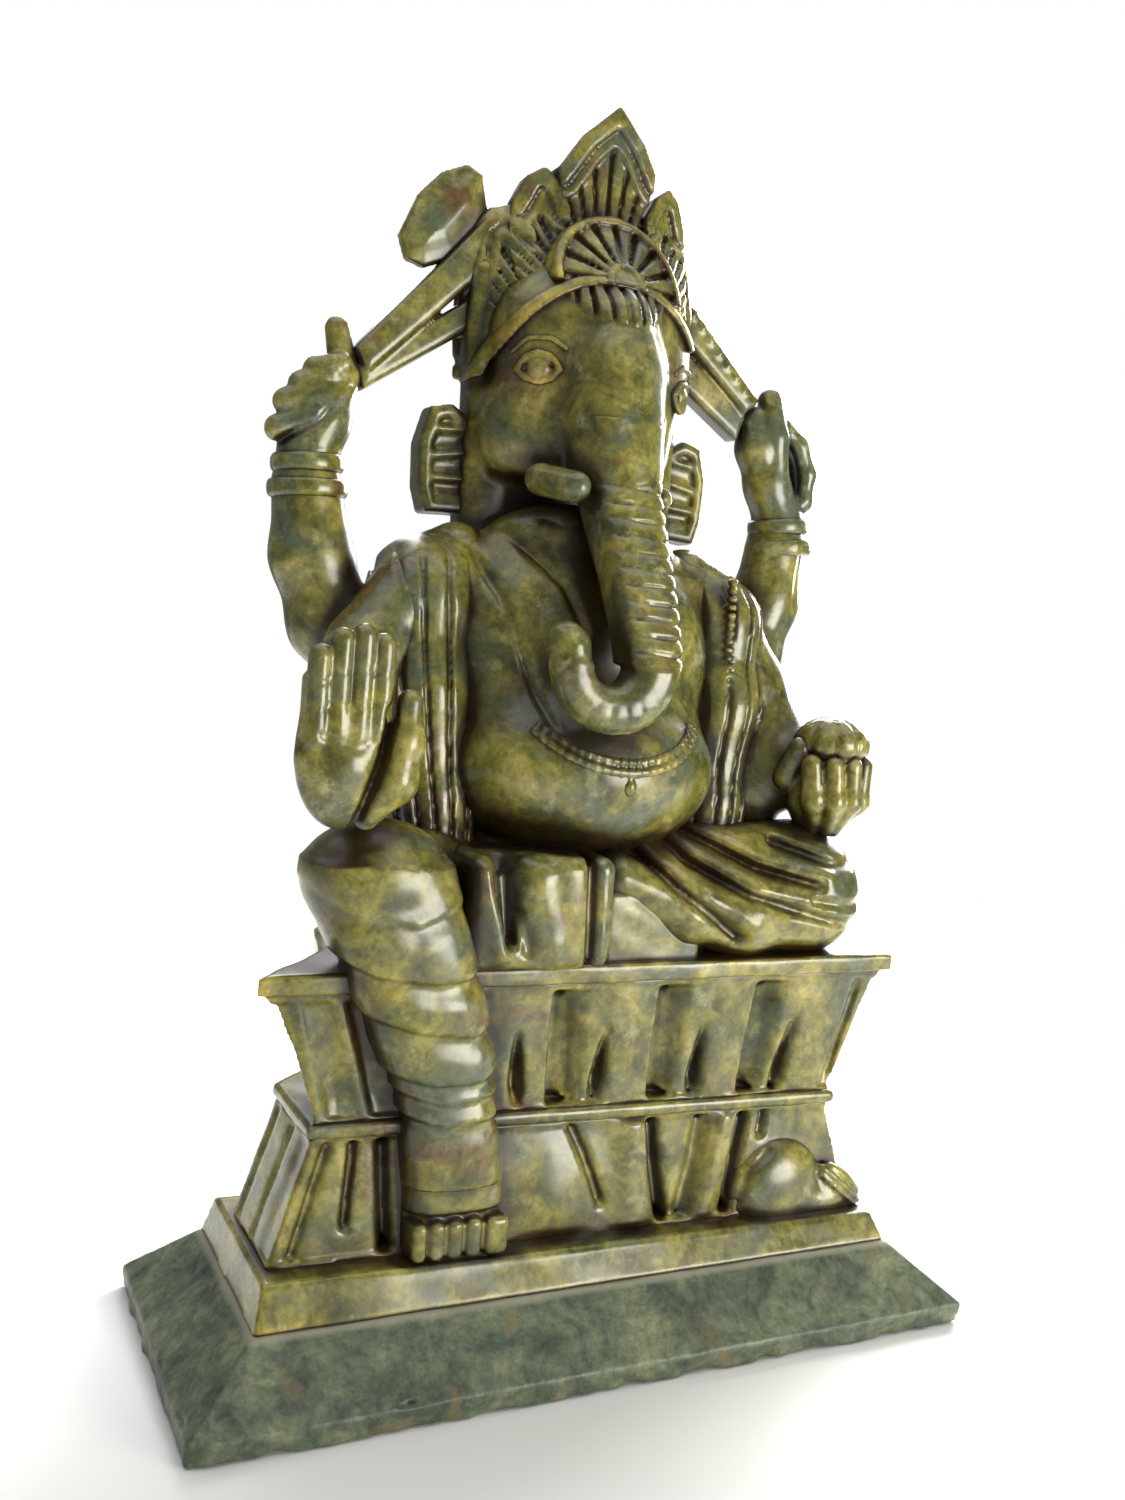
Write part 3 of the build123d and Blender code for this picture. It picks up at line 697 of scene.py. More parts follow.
@carved(0.8)
def right_rear_hand(g):
    g = flattened(g)
    body = chain(g, [(-69.5, ARM_Y, 211.0, 7.6), (-67.5, ARM_Y, 219.0, 7.6), (-63.0, ARM_Y, 230.0, 5.2)], 3.0)
    knuckles = [((-77.6, 215.0), (-70.0, 219.5)), ((-76.0, 221.5), (-68.5, 225.5)),
                ((-72.6, 226.0), (-66.0, 229.5)), ((-69.2, 230.0), (-63.5, 232.0))]
    for (x0, z0), (x1, z1) in knuckles:
        body = melt(body, bone(g, (x0, ARM_Y - 2.0, z0), (x1, ARM_Y - 3.5, z1), 3.3, 3.0), 0.6)
    body = melt(body, bone(g, (-62.0, ARM_Y - 1.0, 229.0), (-64.2, ARM_Y, 240.8), 3.6, 3.1), 0.8)
    grip = [(-77.0, 212.5), (-69.0, 217.0), (-61.5, 227.5)]
    return engrave(body, g, [grip], 1.0, 1.2 * fall(g.y, ARM_Y - 3.0, ARM_Y))


@carved(0.8)
def left_rear_hand(g):
    g = flattened(g)
    body = chain(g, [(68.5, ARM_Y, 210.0, 7.4), (64.0, ARM_Y, 219.0, 6.4), (59.5, ARM_Y, 229.0, 6.0),
                     (57.5, ARM_Y, 236.0, 4.6)], 3.0)
    body = melt(body, chain(g, [(65.0, ARM_Y - 3.0, 220.0, 4.0), (63.0, ARM_Y - 3.5, 232.0, 4.0),
                                (61.3, ARM_Y - 2.0, 242.2, 3.6)], 2.0), 0.8)
    for y in (ARM_Y - 2.0, ARM_Y + 3.5):
        curl = chain(g, [(67.0, y, 235.5, 2.6), (72.5, y, 231.0, 2.9), (76.0, y, 223.5, 2.9),
                         (75.6, y, 216.0, 2.7), (72.5, y, 212.5, 2.4)], 1.5)
        body = melt(body, curl, 0.6)
    return body


@carved(0.8)
def axe_handle(g):
    upper = plate(g, [(-60.5, 236.5), (-57.0, 230.5), (-32.0, 256.5), (-22.0, 268.0), (-27.0, 276.5),
                      (-38.5, 262.5)], ARM_Y, 4.2, 1.8)
    lower = plate(g, [(-60.0, 232.5), (-57.5, 227.0), (-30.0, 246.5), (-24.0, 254.0), (-30.0, 255.0)],
                  ARM_Y + 0.5, 3.4, 1.6)
    return melt(upper, lower, 0.4)


@carved(0.6)
def axe_blade(g):
    fan = [(-27.5, 275.0), (-30.0, 284.5), (-34.0, 286.3), (-40.5, 283.2), (-46.0, 277.0), (-50.5, 266.0),
           (-48.5, 260.5), (-43.5, 259.3), (-36.0, 263.0)]
    rim = -outline(g.x, g.z, fan)
    half_thickness = 1.6 + 2.4 * ramp(rim, 0.0, 8.0)
    body = plate(g, fan, ARM_Y, 4.2, 0.9)
    return keep(body, (abs(g.y - ARM_Y) - half_thickness) * 0.95, 0.6)


@carved(0.8)
def goad_handle(g):
    upper = plate(g, [(57.0, 241.5), (52.5, 237.0), (25.0, 258.0), (27.0, 268.5)], ARM_Y, 4.0, 1.8)
    for step in range(9):
        t = step / 8.0
        upper = melt(upper, egg(g, (54.0 - 24.0 * t, ARM_Y - 2.6, 240.5 + 23.0 * t), (1.7, 2.0, 1.7)), 0.5)
    lower = plate(g, [(54.0, 237.5), (51.5, 229.5), (25.0, 246.0), (25.0, 256.5)], ARM_Y + 1.0, 3.4, 1.6)
    return melt(upper, lower, 0.4)


# ---- head
def face(g):
    """The head before its details are cut."""
    brow = egg(g, (0.0, 20.0, 244.0), (28.0, 17.5, 24.0))
    cheeks = egg(g, (-2.0, 22.0, 222.0), (27.5, 16.5, 21.0))
    cheeks = keep(cheeks, 210.4 - 0.10 * (g.x + 20.0) - g.z, 1.6)
    nape = block(g, (0.0, 29.0, 214.0), (30.5, 6.5, 27.0), 5.0)
    root = chain(g, [(0.3, 7.5, 247.0, 10.0), (0.3, 7.0, 236.0, 12.4), (0.3, 5.2, 224.0, 12.0),
                     (0.3, 1.0, 213.0, 10.3), (0.3, -1.5, 205.0, 9.0)], 5.0)
    hair = block(g, (0.0, 28.0, 249.0), (32.3, 5.6, 15.0), 4.0)
    body = melt(melt(melt(brow, cheeks, 8.0), nape, 3.0), hair, 2.0)
    return melt(body, root, 3.5)


@carved(1.0, 20.0)
def head(g):
    body = face(g)
    for side in (-1.0, 1.0):
        body = cut(body, egg(g, (side * 22.0, 5.0, 203.0), (10.0, 13.0, 7.0)), 1.5)
    front = fall(g.y, 8.0, 12.0)
    fan = ramp(16.5 - length(g.x + 1.0, g.z - 263.5), 0.0, 0.9) * front
    groove = fall(abs(np.sin((g.x + 1.0) * math.pi / 3.7)), 0.1, 0.55)
    body = body - fan * (0.9 - 1.5 * groove)
    return keep(body, g.y - BACK_Y, 3.0) + waves(g, 7.0, 0.35, 1.0)


TRUNK_LEVELS = [150.0, 160.0, 172.0, 185.7, 200.0, 208.0, 216.0]
TRUNK_FRONTS = [-29.6, -29.4, -26.8, -21.5, -14.3, -10.8, -8.0]
TRUNK_HALVES = [6.9, 7.2, 7.7, 8.5, 9.4, 9.8, 9.9]
CURL_RADIUS = 10.4
CURL_X, CURL_Y, CURL_Z = -9.3, -22.8, 165.4


@carved(1.5)
def trunk(g):
    front = np.interp(g.z, TRUNK_LEVELS, TRUNK_FRONTS).astype(np.float32)
    half = np.interp(g.z, TRUNK_LEVELS, TRUNK_HALVES).astype(np.float32)
    along = (CURL_X + CURL_RADIUS) * fall(g.z, 165.0, 205.0)
    u = abs(g.x - along) / half
    v = abs(g.y - front - half * 0.95) / (half * 0.95)
    shaft = ((u**3.2 + v**3.2) ** (1 / 3.2) - 1.0) * half * 0.92
    shaft = np.maximum(shaft, CURL_Z - g.z)
    rows = (g.z - 161.0 + 0.05 * (g.x + 8.0)) / 3.9
    groove = bump(np.sin(math.pi * rows), 0.33)
    ringed = fall(g.y, front + half * 0.9, front + half * 1.4) * ramp(212.0 - g.z, 0.0, 2.0)
    shaft = shaft + 0.85 * groove * ringed * ramp(g.x - along, -half, -half * 0.6)
    angle = np.arctan2(g.z - CURL_Z, g.x - CURL_X)
    turn = np.where(angle > 0.5 * math.pi, angle - 2.0 * math.pi, angle)
    half_curl = 6.6 - 1.8 * ramp(-turn, 0.3, 3.0)
    out = length(g.x - CURL_X, g.z - CURL_Z) - CURL_RADIUS
    section = abs(out / half_curl) ** 2.6 + abs((g.y - CURL_Y) / (half_curl * 0.98)) ** 2.6
    curl = (section ** (1 / 2.6) - 1.0) * half_curl
    curl = np.maximum(curl, g.z - CURL_Z)
    wrinkle = bump(np.sin(turn * 9.0), 0.35) * ramp(-turn, 0.5, 0.9) * fall(-turn, 1.9, 2.3)
    curl = curl + 0.22 * wrinkle * ramp(out, -2.0, 1.0)
    tip_x = CURL_X - CURL_RADIUS
    tip = chain(g, [(tip_x, CURL_Y, CURL_Z - 1.0, 4.9), (tip_x - 0.6, CURL_Y + 0.3, 169.0, 4.6),
                    (tip_x - 1.6, CURL_Y + 0.8, 170.2, 4.5)], 1.0)
    body = melt(shaft, curl, 0.8)
    return melt(body, tip, 1.0)


@carved(0.4)
def right_tusk(g):
    return bone(g, (-19.0, 3.0, 208.4), (-14.6, -7.4, 206.4), 4.0, 3.8)


@carved(0.4)
def left_tusk(g):
    return bone(g, (13.0, 3.0, 207.6), (10.4, -4.0, 206.6), 3.4, 3.1)


EAR = [(-22.0, 200.5), (-39.5, 199.5), (-41.5, 206.0), (-42.0, 217.0), (-39.5, 226.0), (-34.0, 227.5),
       (-30.0, 225.0), (-22.0, 224.0)]
SCROLLS = [[(-38.0, 220.5), (-30.0, 221.5)], [(-38.0, 214.0), (-30.0, 215.5)],
           [(-38.0, 208.5), (-30.0, 209.0)], [(-36.0, 204.0), (-30.0, 204.0)]]


@carved(0.8)
def right_ear(g):
    """Flat ear whose sunk face carries raised scrolls."""
    body = plate(g, EAR, 30.5, 4.4, 1.6)
    inside = -outline(g.x, g.z, EAR)
    hollow = ramp(inside, 2.6, 4.2) * fall(g.y, 28.0, 30.0)
    body = body + 1.6 * hollow
    return engrave(body, g, SCROLLS, 1.1, -1.5 * hollow)


@carved(0.8)
def left_ear(g):
    return right_ear(mirrored(g))


UPPER_LID = [(-5.6, -0.4), (-3.4, 2.5), (0.0, 3.8), (3.2, 2.9), (5.4, 0.0)]
LOWER_LID = [(-5.6, -0.4), (-3.0, -2.6), (0.3, -3.4), (3.3, -2.4), (5.4, 0.0)]
BROW_LINE = [(-7.0, 3.6), (-3.0, 7.0), (3.0, 7.2), (6.5, 5.0)]


def eye(g, centre):
    """Almond eye with two lids and a brow line, raised from the face."""
    p = turned(g, centre, yaw=-42.0)
    skin = face(g)
    body = (length(p.x, 1.15 * p.z, 2.3 * skin) - 3.1) * 0.6
    for points, radius in ((UPPER_LID, 0.95), (LOWER_LID, 0.85), (BROW_LINE, 0.8)):
        body = melt(body, length(line(p.x, p.z, points), skin) - radius, 0.3)
    return keep(body, abs(p.y) - 8.0)


@carved(0.5)
def right_eye(g):
    return eye(g, (-22.6, 5.0, 235.6))


@carved(0.5)
def left_eye(g):
    return eye(mirrored(g), (-23.2, 10.6, 235.0))


# ---- crown
BAND_CENTRE_X, BAND_CENTRE_Z, BAND_RADIUS, BAND_SQUEEZE = 0.5, 224.6, 35.0, 0.93
CROWN_FOOT_Z = 258.0


def crown_gap(g, set_back=0.0):
    """Distance before the crown's front, which leans back from the brow and curves round the head."""
    side = (g.x / 30.0) ** 2
    lean = 0.6 * np.clip(g.z - CROWN_FOOT_Z, 0.0, 18.5) * (1.0 - 0.6 * np.minimum(side, 1.0))
    return (4.6 + lean + 15.0 * side + set_back - g.y) * 0.86


CAP = [(-33.0, 234.0), (-34.5, 250.0), (-34.0, 264.0), (-30.5, 272.0), (-20.0, 280.0), (0.0, 285.0),
       (20.0, 283.0), (31.0, 276.0), (33.5, 264.0), (31.0, 250.0), (29.0, 234.0)]


@carved(0.5, 27.0)
def crown_core(g):
    body = keep(outline(g.x, g.z, CAP), crown_gap(g, 7.0), 2.0)
    ribs = bump(np.sin(np.arctan2(g.x, g.z - 225.0) * 16.0), 0.4) * ramp(g.y, 26.0, 30.0)
    body = body + 0.9 * ribs
    return keep(body, g.y - 33.0, 2.5)


@carved(0.4, 29.0)
def headband(g):
    """Raised strip that arches over the brow from ear to ear."""
    reach = length((g.x - BAND_CENTRE_X) / BAND_SQUEEZE, g.z - BAND_CENTRE_Z)
    crown = keep(outline(g.x, g.z, CAP), crown_gap(g, 1.5), 2.0)
    under = np.minimum(face(g), crown)
    band = keep(under - 1.5, abs(reach - BAND_RADIUS) - 1.6, 1.0)
    return keep(keep(band, 241.0 + 0.25 * g.x - g.z), g.y - 29.0, 1.5)


ARCH_X, ARCH_Z = 1.0, 259.0


@carved(0.35, 14.0)
def crown_arch(g):
    """Half-round frame over the brow with rays inside it."""
    reach = length(g.x - ARCH_X, g.z - ARCH_Z)
    gap = crown_gap(g)
    angle = np.arctan2(g.x - ARCH_X, g.z - ARCH_Z)
    ring = keep(abs(reach - 17.2) - 1.1, gap - 2.0, 0.8)
    inner_ring = keep(abs(reach - 4.6) - 0.9, gap - 1.4, 0.6)
    ray = fall(abs(np.sin(angle * 8.0)), 0.12, 0.6)
    rays = keep(reach - 16.4, gap - 0.9 + 1.9 * ray * ramp(reach, 5.0, 6.5), 0.5)
    body = melt(np.minimum(ring, rays), inner_ring, 0.3)
    return keep(keep(body, CROWN_FOOT_Z - 0.5 - g.z), g.y - 22.0)


def leaf(g, points, roof, foot, ribs, set_back, back_y):
    """Crown leaf: a double raised border under its pointed roof, over ribs that fan out from its foot."""
    side = outline(g.x, g.z, points)
    spread = np.arctan2(g.x - foot[0], g.z - foot[1])
    rib = fall(abs(np.sin(spread * ribs)), 0.08, 0.62)
    under = line(g.x, g.z, roof)
    relief = ramp(under, 3.9, 4.5) + 0.9 * ramp(under, 7.0, 7.6) + 1.6 * rib * ramp(under, 7.0, 8.0)
    relief = relief + 0.7 * bump(under - 4.4, 0.6)
    body = keep(crown_gap(g, set_back + relief), side, 0.9)
    return keep(body, g.y - back_y, 1.0)


FRONT_LEAF = [(-7.0, 260.0), (-11.0, 277.0), (-14.0, 287.0), (-8.0, 296.5), (1.2, 305.3), (9.5, 297.5),
              (14.3, 290.5), (12.0, 279.0), (8.0, 260.0)]
INNER_LEAF = [(-9.0, 256.0), (-9.0, 278.0), (-12.0, 284.6), (-16.4, 287.8), (-20.6, 285.0), (-23.6, 278.5),
              (-24.5, 268.0), (-22.0, 254.0)]
OUTER_LEAF = [(-17.0, 254.0), (-18.0, 272.0), (-23.0, 277.8), (-28.0, 276.6), (-32.2, 272.0), (-33.8, 262.0),
              (-33.5, 244.0), (-25.0, 244.0)]


@carved(0.35, 24.0)
def crown_front_petal(g):
    return leaf(g, FRONT_LEAF, FRONT_LEAF[2:7], (0.8, 250.0), 27.0, 0.0, 24.0)


@carved(0.35, 22.0)
def crown_right_inner_petal(g):
    return leaf(g, INNER_LEAF, INNER_LEAF[1:6], (-6.0, 246.0), 27.0, 1.6, 27.0)


@carved(0.35, 22.0)
def crown_left_inner_petal(g):
    return crown_right_inner_petal(Moved(3.0 - g.x, g.y, g.z - 2.0))


@carved(0.35, 20.0)
def crown_right_outer_petal(g):
    return leaf(g, OUTER_LEAF, OUTER_LEAF[1:6], (-12.0, 236.0), 30.0, 2.6, 31.0)


@carved(0.35, 20.0)
def crown_left_outer_petal(g):
    return crown_right_outer_petal(mirrored(g))


# ---- from distances to meshes
whole = [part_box(node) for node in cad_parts]
ORIGIN = [math.floor((min(low[i] for low, high in whole) / MM - REACH) / VOXEL) for i in range(3)]
LIMIT = [math.ceil((max(high[i] for low, high in whole) / MM + REACH) / VOXEL) for i in range(3)]


def window(name, reach):
    """Lattice box round one CAD node."""
    low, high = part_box(name)
    first = [max(ORIGIN[i], math.floor((low[i] / MM - reach) / VOXEL)) for i in range(3)]
    last = [min(LIMIT[i], math.ceil((high[i] / MM + reach) / VOXEL)) for i in range(3)]
    return Grid(first, [last[i] - first[i] + 1 for i in range(3)])


def sculpt():
    """Each piece's own distance, the whole stone's, and the two nearest pieces at every point."""
    shape = tuple(LIMIT[i] - ORIGIN[i] + 1 for i in range(3))
    stone = np.full(shape, FAR, np.float32)
    nearest = np.full(shape, FAR, np.float32)
    second = np.full(shape, FAR, np.float32)
    owner = np.full(shape, -1, np.int8)
    fields = []
    for number, (name, (shape_of, softness, reach)) in enumerate(PIECES.items()):
        grid = window(name, reach)
        own = np.broadcast_to(shape_of(grid), grid.count).astype(np.float32)
        at = grid.where()
        stone[at] = melt(stone[at], own, softness)
        closer = own < nearest[at]
        second[at] = np.where(closer, nearest[at], np.minimum(second[at], own))
        owner[at] = np.where(closer, number, owner[at])
        nearest[at] = np.where(closer, own, nearest[at])
        fields.append((name, number, grid, own))
    return fields, stone, nearest, second, owner


def sample(volume, points):
    """Values of the whole lattice at points in millimetres, read between lattice points."""
    place = points / VOXEL - np.array(ORIGIN)
    top = np.array(volume.shape) - 2
    base = np.clip(np.floor(place).astype(int), 0, top)
    part = np.clip(place - base, 0.0, 1.0)
    value = 0.0
    for corner in range(8):
        step = np.array([corner & 1, corner >> 1 & 1, corner >> 2 & 1])
        weight = np.prod(np.where(step, part, 1.0 - part), axis=1)
        at = base + step
        value = value + weight * volume[at[:, 0], at[:, 1], at[:, 2]]
    return value


def recess(stone, points, normals):
    """How far into a recess each point lies, from 0 in the open to 1 in a deep groove; it drives the stone's
    painted shade.
    """
    hidden = 0.0
    for reach, weight in ((1.4, 0.28), (3.0, 0.26), (7.0, 0.22), (13.0, 0.20), (24.0, 0.16)):
        open_space = sample(stone, points + normals * reach)
        hidden = hidden + weight * np.clip(1.0 - open_space / reach, 0.0, 1.0)
    return hidden


def rubbed(stone, points, normals):
    """How sharp the ridge at each point is, from 0 on a broad surface to 1 on a thin edge; it drives a
    painted highlight with wear on the ridges.
    """
    depth = 1.6
    return np.clip(1.0 + sample(stone, points - normals * depth) / depth, 0.0, 1.0)


def mesh_piece(name, field, grid, stone):
    """Closed mesh on the zero surface of one piece's field."""
    outside = SKIN * VOXEL
    band = np.clip(field, -outside, outside)
    band = np.pad(band[1:-1, 1:-1, 1:-1], 1, constant_values=outside)
    volume = openvdb.FloatGrid(outside)
    volume.copyFromArray(band, ijk=tuple(grid.first), tolerance=0.0)
    volume.transform = openvdb.createLinearTransform(voxelSize=VOXEL)
    points, quads = volume.convertToQuads(isovalue=0.0)
    mesh = bpy.data.meshes.new(name)
    mesh.vertices.add(len(points))
    mesh.vertices.foreach_set("co", (points * MM).ravel())
    mesh.loops.add(quads.size)
    mesh.loops.foreach_set("vertex_index", quads.astype(np.int32).ravel())
    mesh.polygons.add(len(quads))
    mesh.polygons.foreach_set("loop_start", np.arange(0, quads.size, 4, dtype=np.int32))
    mesh.polygons.foreach_set("use_smooth", np.ones(len(quads), bool))
    mesh.update(calc_edges=True)
    normals = np.empty(len(points) * 3, np.float32)
    mesh.vertices.foreach_get("normal", normals)
    normals = normals.reshape(-1, 3)
    # Per-point masks for the stone's colour: painted shade in recesses, and a painted highlight with wear on
    # ridges.
    for label, measure in (("recess", recess), ("rubbed", rubbed)):
        values = measure(stone, points, normals).astype(np.float32)
        mesh.attributes.new(label, "FLOAT", "POINT").data.foreach_set("value", values)
    piece = bpy.data.objects.new(name + "_stone", mesh)
    bpy.context.collection.objects.link(piece)
    return piece


# ---- stone
def node(tree, kind, **settings):
    made = tree.nodes.new(kind)
    for key, value in settings.items():
        setattr(made, key, value)
    return made


def adjust(made, settings):
    """Sets a node's inputs by name."""
    for key, value in settings.items():
        made.inputs[key].default_value = value


def noise(tree, scale, detail, roughness=0.6, distortion=0.0):
    """Noise in the object's own metres."""
    made = node(tree, "ShaderNodeTexNoise")
    adjust(made, {"Scale": scale, "Detail": detail, "Roughness": roughness, "Distortion": distortion})
    coordinates = tree.nodes.get("Texture Coordinate") or node(tree, "ShaderNodeTexCoord")
    tree.links.new(coordinates.outputs["Object"], made.inputs["Vector"])
    return made.outputs["Fac"]


def stops(tree, value, colours):
    """Colour ramp through (position, colour) stops."""
    made = node(tree, "ShaderNodeValToRGB")
    elements = made.color_ramp.elements
    while len(elements) < len(colours):
        elements.new(0.5)
    for element, (position, colour) in zip(elements, colours):
        element.position = position
        element.color = (*colour, 1.0)
    tree.links.new(value, made.inputs["Fac"])
    return made.outputs["Color"]


def blend(tree, factor, low, high, mode="MIX"):
    made = node(tree, "ShaderNodeMix", data_type="RGBA", blend_type=mode)
    for socket, value in ((made.inputs[0], factor), (made.inputs[6], low), (made.inputs[7], high)):
        if isinstance(value, bpy.types.NodeSocket):
            tree.links.new(value, socket)
        elif isinstance(value, tuple):
            socket.default_value = (*value, 1.0)
        else:
            socket.default_value = value
    return made.outputs[2]


def new_material(name):
    """New material with its tree and main shader."""
    material = bpy.data.materials.new(name)
    material.use_nodes = True
    tree = material.node_tree
    return material, tree, tree.nodes["Principled BSDF"]


BLACK, WHITE = (0.0, 0.0, 0.0), (1.0, 1.0, 1.0)


def dressed(tree, shader, height, strength, distance):
    """Fine unevenness left by hand tools."""
    bumps = node(tree, "ShaderNodeBump")
    adjust(bumps, {"Strength": strength, "Distance": distance})
    tree.links.new(height, bumps.inputs["Height"])
    tree.links.new(bumps.outputs["Normal"], shader.inputs["Normal"])


def polished_soapstone():
    """Glossy mottled olive stone with grey clouds and rust patches, with painted shade in its recesses and a
    painted highlight with wear on its ridges.
    """
    material, tree, shader = new_material("polished_soapstone")
    olive = stops(tree, noise(tree, 85.0, 9.0, 0.68, 0.5), [
        (0.30, (0.030, 0.032, 0.007)),
        (0.42, (0.110, 0.108, 0.016)),
        (0.54, (0.255, 0.232, 0.040)),
        (0.70, (0.500, 0.410, 0.120)),
    ])
    clouds = stops(tree, noise(tree, 38.0, 8.0, 0.62, 0.9), [(0.50, BLACK), (0.64, WHITE)])
    colour = blend(tree, clouds, olive, (0.110, 0.132, 0.074))
    rust = stops(tree, noise(tree, 47.0, 7.0, 0.65, 1.2), [(0.56, BLACK), (0.70, WHITE)])
    colour = blend(tree, rust, colour, (0.160, 0.075, 0.028))
    pale = stops(tree, noise(tree, 150.0, 8.0, 0.7, 0.3), [(0.56, BLACK), (0.74, WHITE)])
    colour = blend(tree, pale, colour, (0.430, 0.420, 0.210))
    specks = stops(tree, noise(tree, 420.0, 5.0, 0.7), [(0.36, (0.42, 0.44, 0.40)), (0.56, WHITE)])
    colour = blend(tree, 0.75, colour, specks, "MULTIPLY")
    # Painted shade: the colour turns dark brown where the recess attribute says a point lies deep in a groove
    # or under an overhang.
    hidden = node(tree, "ShaderNodeAttribute", attribute_name="recess")
    depth = stops(tree, hidden.outputs["Fac"], [(0.09, BLACK), (0.48, WHITE)])
    # Painted highlight with some edge wear: the colour turns lighter and warmer on sharp ridges.
    ridge = node(tree, "ShaderNodeAttribute", attribute_name="rubbed")
    edge = stops(tree, ridge.outputs["Fac"], [(0.12, BLACK), (0.60, WHITE)])
    worn_and_lit = blend(tree, 1.0, colour, (1.55, 1.38, 0.95), "MULTIPLY")
    colour = blend(tree, edge, colour, worn_and_lit)
    # The dark brown of the painted shade, mixed in by recess depth.
    painted_shade = blend(tree, 1.0, colour, (0.16, 0.10, 0.035), "MULTIPLY")
    colour = blend(tree, depth, colour, painted_shade)
    tree.links.new(colour, shader.inputs["Base Color"])
    wear = stops(tree, noise(tree, 120.0, 6.0), [(0.35, (0.19, 0.19, 0.19)), (0.70, (0.34, 0.34, 0.34))])
    matt = blend(tree, depth, wear, (0.42, 0.42, 0.42))
    tree.links.new(matt, shader.inputs["Roughness"])
    adjust(shader, {
        "Specular IOR Level": 0.6,
        "Coat Weight": 0.25,
        "Coat Roughness": 0.16,
        "Subsurface Weight": 0.06,
        "Subsurface Radius": (0.004, 0.003, 0.0015),
        "Subsurface Scale": 1.0,
    })
    dressed(tree, shader, noise(tree, 160.0, 4.0, 0.5), 0.10, 0.6 * MM)
    return material


def dull_base_stone():
    """Rubbed, speckled grey-green stone with a pale line where it meets the plinth."""
    material, tree, shader = new_material("dull_base_stone")
    ground = stops(tree, noise(tree, 75.0, 9.0, 0.72, 0.4), [
        (0.30, (0.022, 0.032, 0.022)),
        (0.43, (0.072, 0.096, 0.062)),
        (0.55, (0.150, 0.180, 0.106)),
        (0.72, (0.300, 0.310, 0.160)),
    ])
    flecks = stops(tree, noise(tree, 480.0, 4.0, 0.7), [(0.34, (0.45, 0.47, 0.45)), (0.60, WHITE)])
    colour = blend(tree, 0.8, ground, flecks, "MULTIPLY")
    rust = stops(tree, noise(tree, 60.0, 5.0, 0.6, 1.0), [(0.60, BLACK), (0.74, WHITE)])
    colour = blend(tree, rust, colour, (0.190, 0.135, 0.060))
    coordinates = tree.nodes.get("Texture Coordinate")
    height = node(tree, "ShaderNodeSeparateXYZ")
    tree.links.new(coordinates.outputs["Object"], height.inputs["Vector"])
    seam = node(tree, "ShaderNodeMapRange", clamp=True)
    adjust(seam, {"From Min": (BASE_TOP_Z - 1.3) * MM, "From Max": BASE_TOP_Z * MM})
    tree.links.new(height.outputs["Z"], seam.inputs["Value"])
    colour = blend(tree, seam.outputs["Result"], colour, (0.34, 0.33, 0.24))
    tree.links.new(colour, shader.inputs["Base Color"])
    gloss = stops(tree, noise(tree, 90.0, 6.0), [(0.35, (0.34, 0.34, 0.34)), (0.70, (0.55, 0.55, 0.55))])
    tree.links.new(gloss, shader.inputs["Roughness"])
    dressed(tree, shader, noise(tree, 260.0, 6.0, 0.65), 0.30, 0.8 * MM)
    return material


# ---- make the pieces
fields, stone, nearest, second, owner = sculpt()
polished = polished_soapstone()
dull = dull_base_stone()
for name, number, grid, own in fields:
    at = grid.where()
    others = np.where(owner[at] == number, second[at], nearest[at])
    field = stone[at] + np.maximum(own - others, 0.0)
    piece = mesh_piece(name, field, grid, stone)
    is_base = name == "base_slab"
    piece.data.materials.append(dull if is_base else polished)
    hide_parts(name)
    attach(piece, "root")


# ---- floor, lights and camera
def soft_light(name, place, target, width, watts, colour=WHITE):
    """Square area light aimed at a point."""
    lamp = bpy.data.lights.new(name, "AREA")
    lamp.size = width
    lamp.energy = watts
    lamp.color = colour
    holder = bpy.data.objects.new(name, lamp)
    holder.location = place
    aim = Vector(target) - Vector(place)
    holder.rotation_euler = aim.to_track_quat("-Z", "Y").to_euler()
    bpy.context.collection.objects.link(holder)


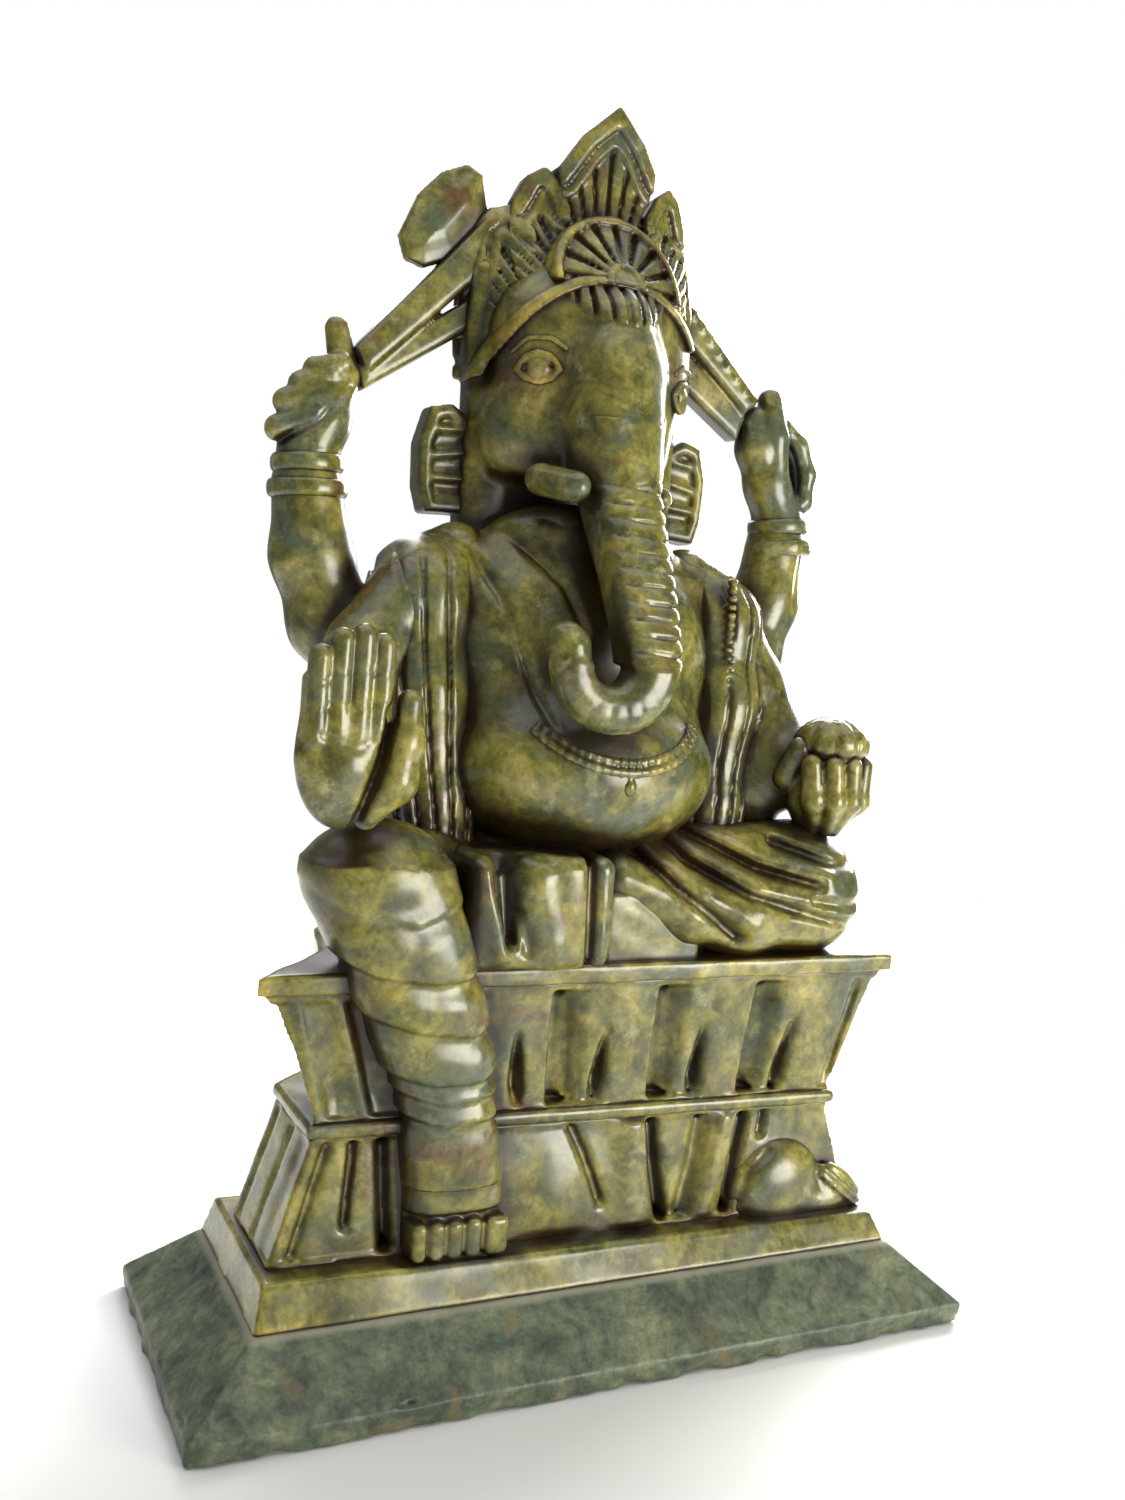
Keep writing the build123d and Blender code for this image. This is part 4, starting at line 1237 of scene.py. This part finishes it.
paint, _, paint_shader = new_material("floor_paint")
adjust(paint_shader, {"Base Color": (0.92, 0.92, 0.91, 1.0), "Roughness": 0.7})
bpy.ops.mesh.primitive_plane_add(size=1.2)
floor = bpy.context.object
floor.name = "floor"
floor.data.materials.append(paint)

MIDDLE = (0.0, 0.0, 0.15)
soft_light("window_right", (0.62, 0.42, 0.42), MIDDLE, 0.40, 8.5, (1.0, 0.99, 0.96))
soft_light("window_behind", (0.35, 0.70, 0.80), MIDDLE, 0.7, 8.0)
soft_light("room_front", (0.46, -0.74, 0.11), (0.0, 0.0, 0.07), 0.42, 6.8, (1.0, 0.98, 0.88))
soft_light("ceiling", (0.0, 0.0, 2.4), MIDDLE, 3.2, 36.0)

world = bpy.data.worlds.new("room")
world.use_nodes = True
world_tree = world.node_tree
fill = world_tree.nodes["Background"]
adjust(fill, {"Color": (*WHITE, 1.0), "Strength": 0.26})
backdrop = node(world_tree, "ShaderNodeBackground")
adjust(backdrop, {"Color": (*WHITE, 1.0)})
path = node(world_tree, "ShaderNodeLightPath")
choice = node(world_tree, "ShaderNodeMixShader")
world_tree.links.new(path.outputs["Is Camera Ray"], choice.inputs["Fac"])
world_tree.links.new(fill.outputs["Background"], choice.inputs[1])
world_tree.links.new(backdrop.outputs["Background"], choice.inputs[2])
world_tree.links.new(choice.outputs["Shader"], world_tree.nodes["World Output"].inputs["Surface"])
bpy.context.scene.world = world
bpy.context.scene.view_settings.view_transform = "Standard"

lens = bpy.data.cameras.new("camera")
lens.sensor_width = 36.0
lens.lens = 32.424
camera = bpy.data.objects.new("camera", lens)
camera.location = (-0.1576, -0.2972, 0.1682)
heading = Matrix.Rotation(math.radians(-26.59), 4, "Z")
tilt = Matrix.Rotation(math.radians(-4.28), 4, "X")
lean = Matrix.Rotation(math.radians(-4.59), 4, "Y")
upright = Matrix.Rotation(math.radians(90.0), 4, "X")
camera.rotation_euler = (heading @ tilt @ lean @ upright).to_euler()
bpy.context.collection.objects.link(camera)
bpy.context.scene.camera = camera
